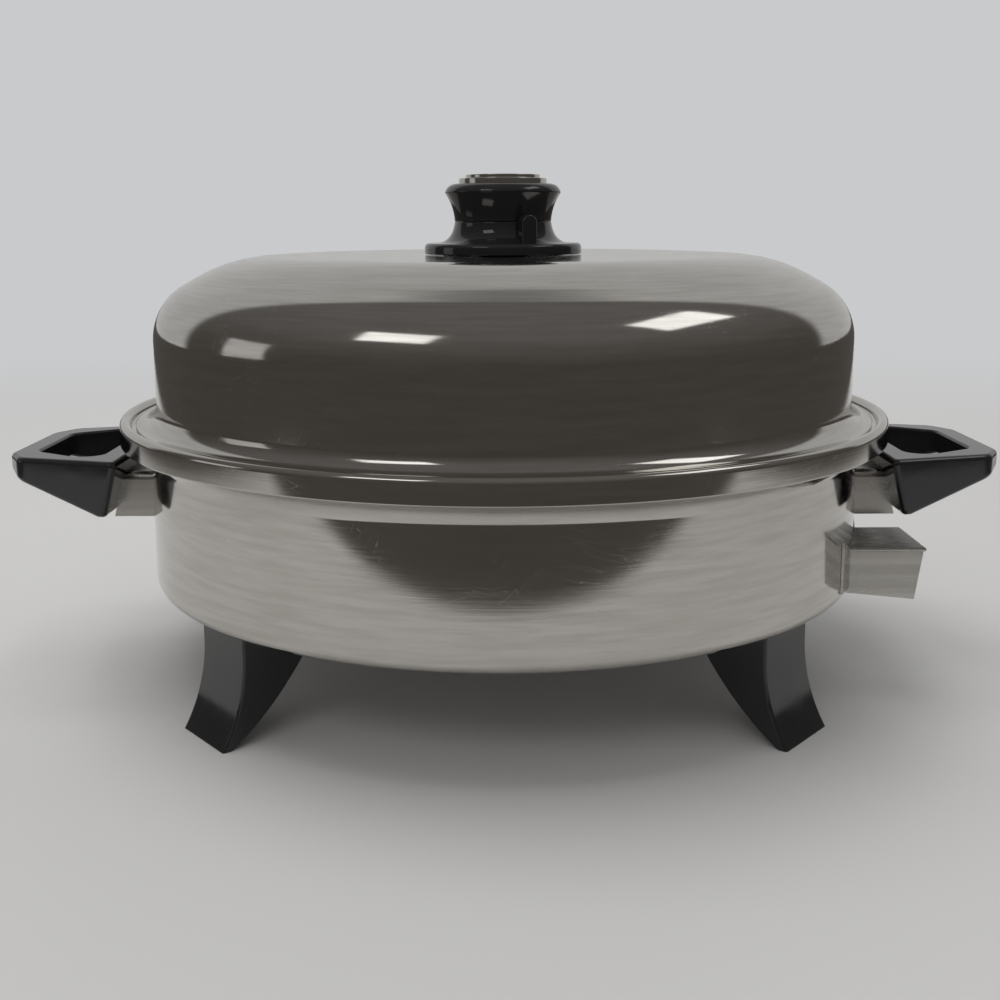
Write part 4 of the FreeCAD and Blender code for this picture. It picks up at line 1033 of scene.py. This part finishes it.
@dataclass
class Studio:
    """Pale floor, soft lamps and the room that the steel mirrors."""

    floor_half: float = 6.0
    floor_colour: Triple = (0.56, 0.555, 0.545)
    table_front: float = -0.345
    table_half: float = 0.55
    fade_start: float = 0.4
    fade_end: float = 1.4
    backdrop: Triple = (0.585, 0.59, 0.6)
    room_dark: Triple = (0.082, 0.076, 0.07)
    room_high: Triple = (0.16, 0.155, 0.15)
    room_back: Triple = (0.52, 0.52, 0.515)
    unseen_light: Triple = (0.5, 0.5, 0.5)
    front_blur: float = 0.012
    side_blur: float = 0.1

    def build(self) -> None:
        """Makes the floor, the lamps and the world."""
        self._floor()
        self._lamps()
        self._world()

    def _floor(self) -> None:
        """Makes a wide flat floor whose far front turns dark in reflections."""
        reach = self.floor_half
        mesh = bpy.data.meshes.new("floor")
        mesh.from_pydata([(-reach, -reach, 0.0), (reach, -reach, 0.0), (reach, reach, 0.0),
                          (-reach, reach, 0.0)], [], [(0, 1, 2, 3)])
        floor = link_piece(bpy.data.objects.new("floor", mesh))
        material = bpy.data.materials.new("floor_paint")
        material.use_nodes = True
        material.node_tree.nodes.clear()
        graph = Graph(material.node_tree)
        output = graph.add("ShaderNodeOutputMaterial")
        pale = graph.add("ShaderNodeBsdfDiffuse")
        pale.inputs["Color"].default_value = (*self.floor_colour, 1.0)
        dark = graph.add("ShaderNodeEmission")
        dark.inputs["Color"].default_value = (*self.room_dark, 1.0)
        dark.inputs["Strength"].default_value = 1.0
        place = graph.add("ShaderNodeTexCoord").outputs["Object"]
        x, y, _ = graph.split(place)
        beyond_front = graph.ramp(y, self.table_front + self.front_blur,
                                  self.table_front - self.front_blur)
        beyond_side = graph.ramp(graph.math("ABSOLUTE", x), self.table_half,
                                 self.table_half + self.side_blur)
        beyond = graph.math("MAXIMUM", beyond_front, beyond_side)
        path = graph.add("ShaderNodeLightPath")
        mix = graph.add("ShaderNodeMixShader")
        graph.feed(mix.inputs[0], graph.times(beyond, path.outputs["Is Glossy Ray"]))
        graph.feed(mix.inputs[1], pale.outputs[0])
        graph.feed(mix.inputs[2], dark.outputs[0])
        away = graph.ramp(graph.vector_math("LENGTH", place), self.fade_start, self.fade_end)
        cloth = graph.add("ShaderNodeEmission")
        cloth.inputs["Color"].default_value = (*self.backdrop, 1.0)
        fade = graph.add("ShaderNodeMixShader")
        graph.feed(fade.inputs[0], graph.times(away, path.outputs["Is Camera Ray"]))
        graph.feed(fade.inputs[1], mix.outputs[0])
        graph.feed(fade.inputs[2], cloth.outputs[0])
        graph.feed(output.inputs["Surface"], fade.outputs[0])
        floor.data.materials.append(material)

    def _lamps(self) -> None:
        """Makes soft lamps overhead and to the sides."""
        for entry in LAMPS:
            lamp = bpy.data.lights.new(entry.name, "AREA")
            lamp.shape = "RECTANGLE"
            lamp.size, lamp.size_y = entry.size
            lamp.energy = entry.watts
            holder = link_piece(bpy.data.objects.new(entry.name, lamp))
            holder.location = entry.place
            toward = LAMP_AIM - Vector(entry.place)
            holder.rotation_euler = toward.to_track_quat("-Z", "Y").to_euler()
            holder.visible_camera = False
            holder.visible_glossy = False

    @staticmethod
    def _patch(graph: Graph, view: Socket, panel: Panel) -> Socket:
        """Marks a panel of the room.

        Args:
            graph: Graph of the world.
            view: Direction that is looked in.
            panel: The panel.

        Returns:
            Mask of the panel.
        """
        middle = Vector(panel.aim).normalized()
        across = middle.cross(Vector((0.0, 0.0, 1.0))).normalized()
        upward = across.cross(middle)
        side = graph.math("ABSOLUTE", graph.vector_math("DOT_PRODUCT", view, tuple(across)))
        rise = graph.math("ABSOLUTE", graph.vector_math("DOT_PRODUCT", view, tuple(upward)))
        ahead = graph.ramp(graph.vector_math("DOT_PRODUCT", view, tuple(middle)), 0.0, 0.05)
        wide = graph.ramp(side, panel.width[1], panel.width[0])
        high = graph.ramp(rise, panel.height[1], panel.height[0])
        mask = graph.times(wide, high)
        return graph.times(mask, ahead)

    def _world(self) -> None:
        """Makes a pale backdrop for the camera and a dim room with soft panels for reflections."""
        world = bpy.data.worlds.new("studio")
        bpy.context.scene.world = world
        world.use_nodes = True
        world.node_tree.nodes.clear()
        graph = Graph(world.node_tree)
        output = graph.add("ShaderNodeOutputWorld")
        view = graph.add("ShaderNodeTexCoord").outputs["Generated"]
        x, y, z = graph.split(view)
        back = graph.ramp(y, 0.42, 0.51)
        room = graph.blend(graph.ramp(z, -0.05, 0.9), (*self.room_dark, 1.0),
                           (*self.room_high, 1.0))
        room = graph.blend(back, room, (*self.room_back, 1.0))
        for panel in PANELS:
            mask = self._patch(graph, view, panel)
            room = graph.blend(mask, room, (panel.tone, panel.tone, panel.tone, 1.0))
        path = graph.add("ShaderNodeLightPath")
        shown = graph.blend(path.outputs["Is Glossy Ray"], (*self.unseen_light, 1.0), room)
        shown = graph.blend(path.outputs["Is Camera Ray"], shown, (*self.backdrop, 1.0))
        sky = graph.add("ShaderNodeBackground")
        graph.feed(sky.inputs["Color"], shown)
        graph.feed(output.inputs["Surface"], sky.outputs[0])


@dataclass
class Viewpoint:
    """Camera in front of the skillet, a little above its rim."""

    place: Triple = (0.0, -0.5213, 0.1874)
    tilt: float = 0.168
    pan: float = -0.003
    roll: float = -0.004
    lens: float = 44.93
    sensor: float = 36.0
    shift_y: float = -0.0707

    def build(self) -> None:
        """Makes the camera and sets it as the scene's camera."""
        level = math.cos(self.tilt)
        ahead = Vector((level * math.sin(self.pan), level * math.cos(self.pan),
                        -math.sin(self.tilt)))
        right = Vector((math.cos(self.pan), -math.sin(self.pan), 0.0))
        up = right.cross(ahead)
        turned_right = right * math.cos(self.roll) + up * math.sin(self.roll)
        turned_up = up * math.cos(self.roll) - right * math.sin(self.roll)
        data = bpy.data.cameras.new("viewpoint")
        data.lens = self.lens
        data.sensor_width = self.sensor
        data.sensor_fit = "HORIZONTAL"
        data.shift_y = self.shift_y
        data.clip_start = 0.01
        data.clip_end = 50.0
        camera = link_piece(bpy.data.objects.new("viewpoint", data))
        axes = Matrix((turned_right, turned_up, -ahead)).transposed()
        camera.matrix_world = Matrix.Translation(self.place) @ axes.to_4x4()
        bpy.context.scene.camera = camera


def make_materials(effects: Effects) -> dict[str, Material]:
    """Builds every finish and returns them by name."""
    finishes = [
        SteelFinish("polished_steel"),
        SteelFinish("bracket_steel", grain=Grain.ALONG_X, smooth=0.16, rough=0.3,
                    scratch_amount=0.8),
        SteelFinish("shroud_steel", grain=Grain.ALONG_X, smooth=0.2, rough=0.34,
                    light=(0.5, 0.485, 0.46), dark=(0.42, 0.405, 0.38)),
        SteelFinish("plated_steel", grain=Grain.NONE, smooth=0.2, rough=0.38,
                    light=(0.55, 0.55, 0.56)),
        SteelFinish("cap_metal", smooth=0.08, rough=0.18, around=14.0, across=1600.0),
        SteelFinish("nickel", grain=Grain.ALONG_X, smooth=0.18, rough=0.32),
        SteelFinish("brass", grain=Grain.NONE, light=(0.72, 0.53, 0.25), dark=(0.55, 0.39, 0.18),
                    smooth=0.22, rough=0.4),
        SteelFinish("aluminium", light=(0.72, 0.72, 0.73), dark=(0.62, 0.62, 0.63),
                    smooth=0.3, rough=0.5, around=30.0, across=700.0),
        PlasticFinish("gloss_phenolic"),
        PlasticFinish("leg_phenolic", smooth=0.09, rough=0.2, relief=0.15, dust_amount=0.3),
        CeramicFinish("ceramic"),
        SheathFinish("element_sheath"),
    ]
    return {finish.name: finish.build(effects) for finish in finishes}


def main() -> None:
    """Builds the scene."""
    logging.basicConfig(level=logging.INFO, format="%(name)s %(message)s")
    materials = make_materials(Effects())
    PanBody().build(materials["polished_steel"])
    LidDome().build(materials["polished_steel"])
    Knob().build(materials["gloss_phenolic"], materials["cap_metal"])
    CarriedPieces().dress(materials)
    Studio().build()
    Viewpoint().build()
    bpy.context.scene.view_settings.view_transform = "Standard"


if __name__ == "__main__":
    main()
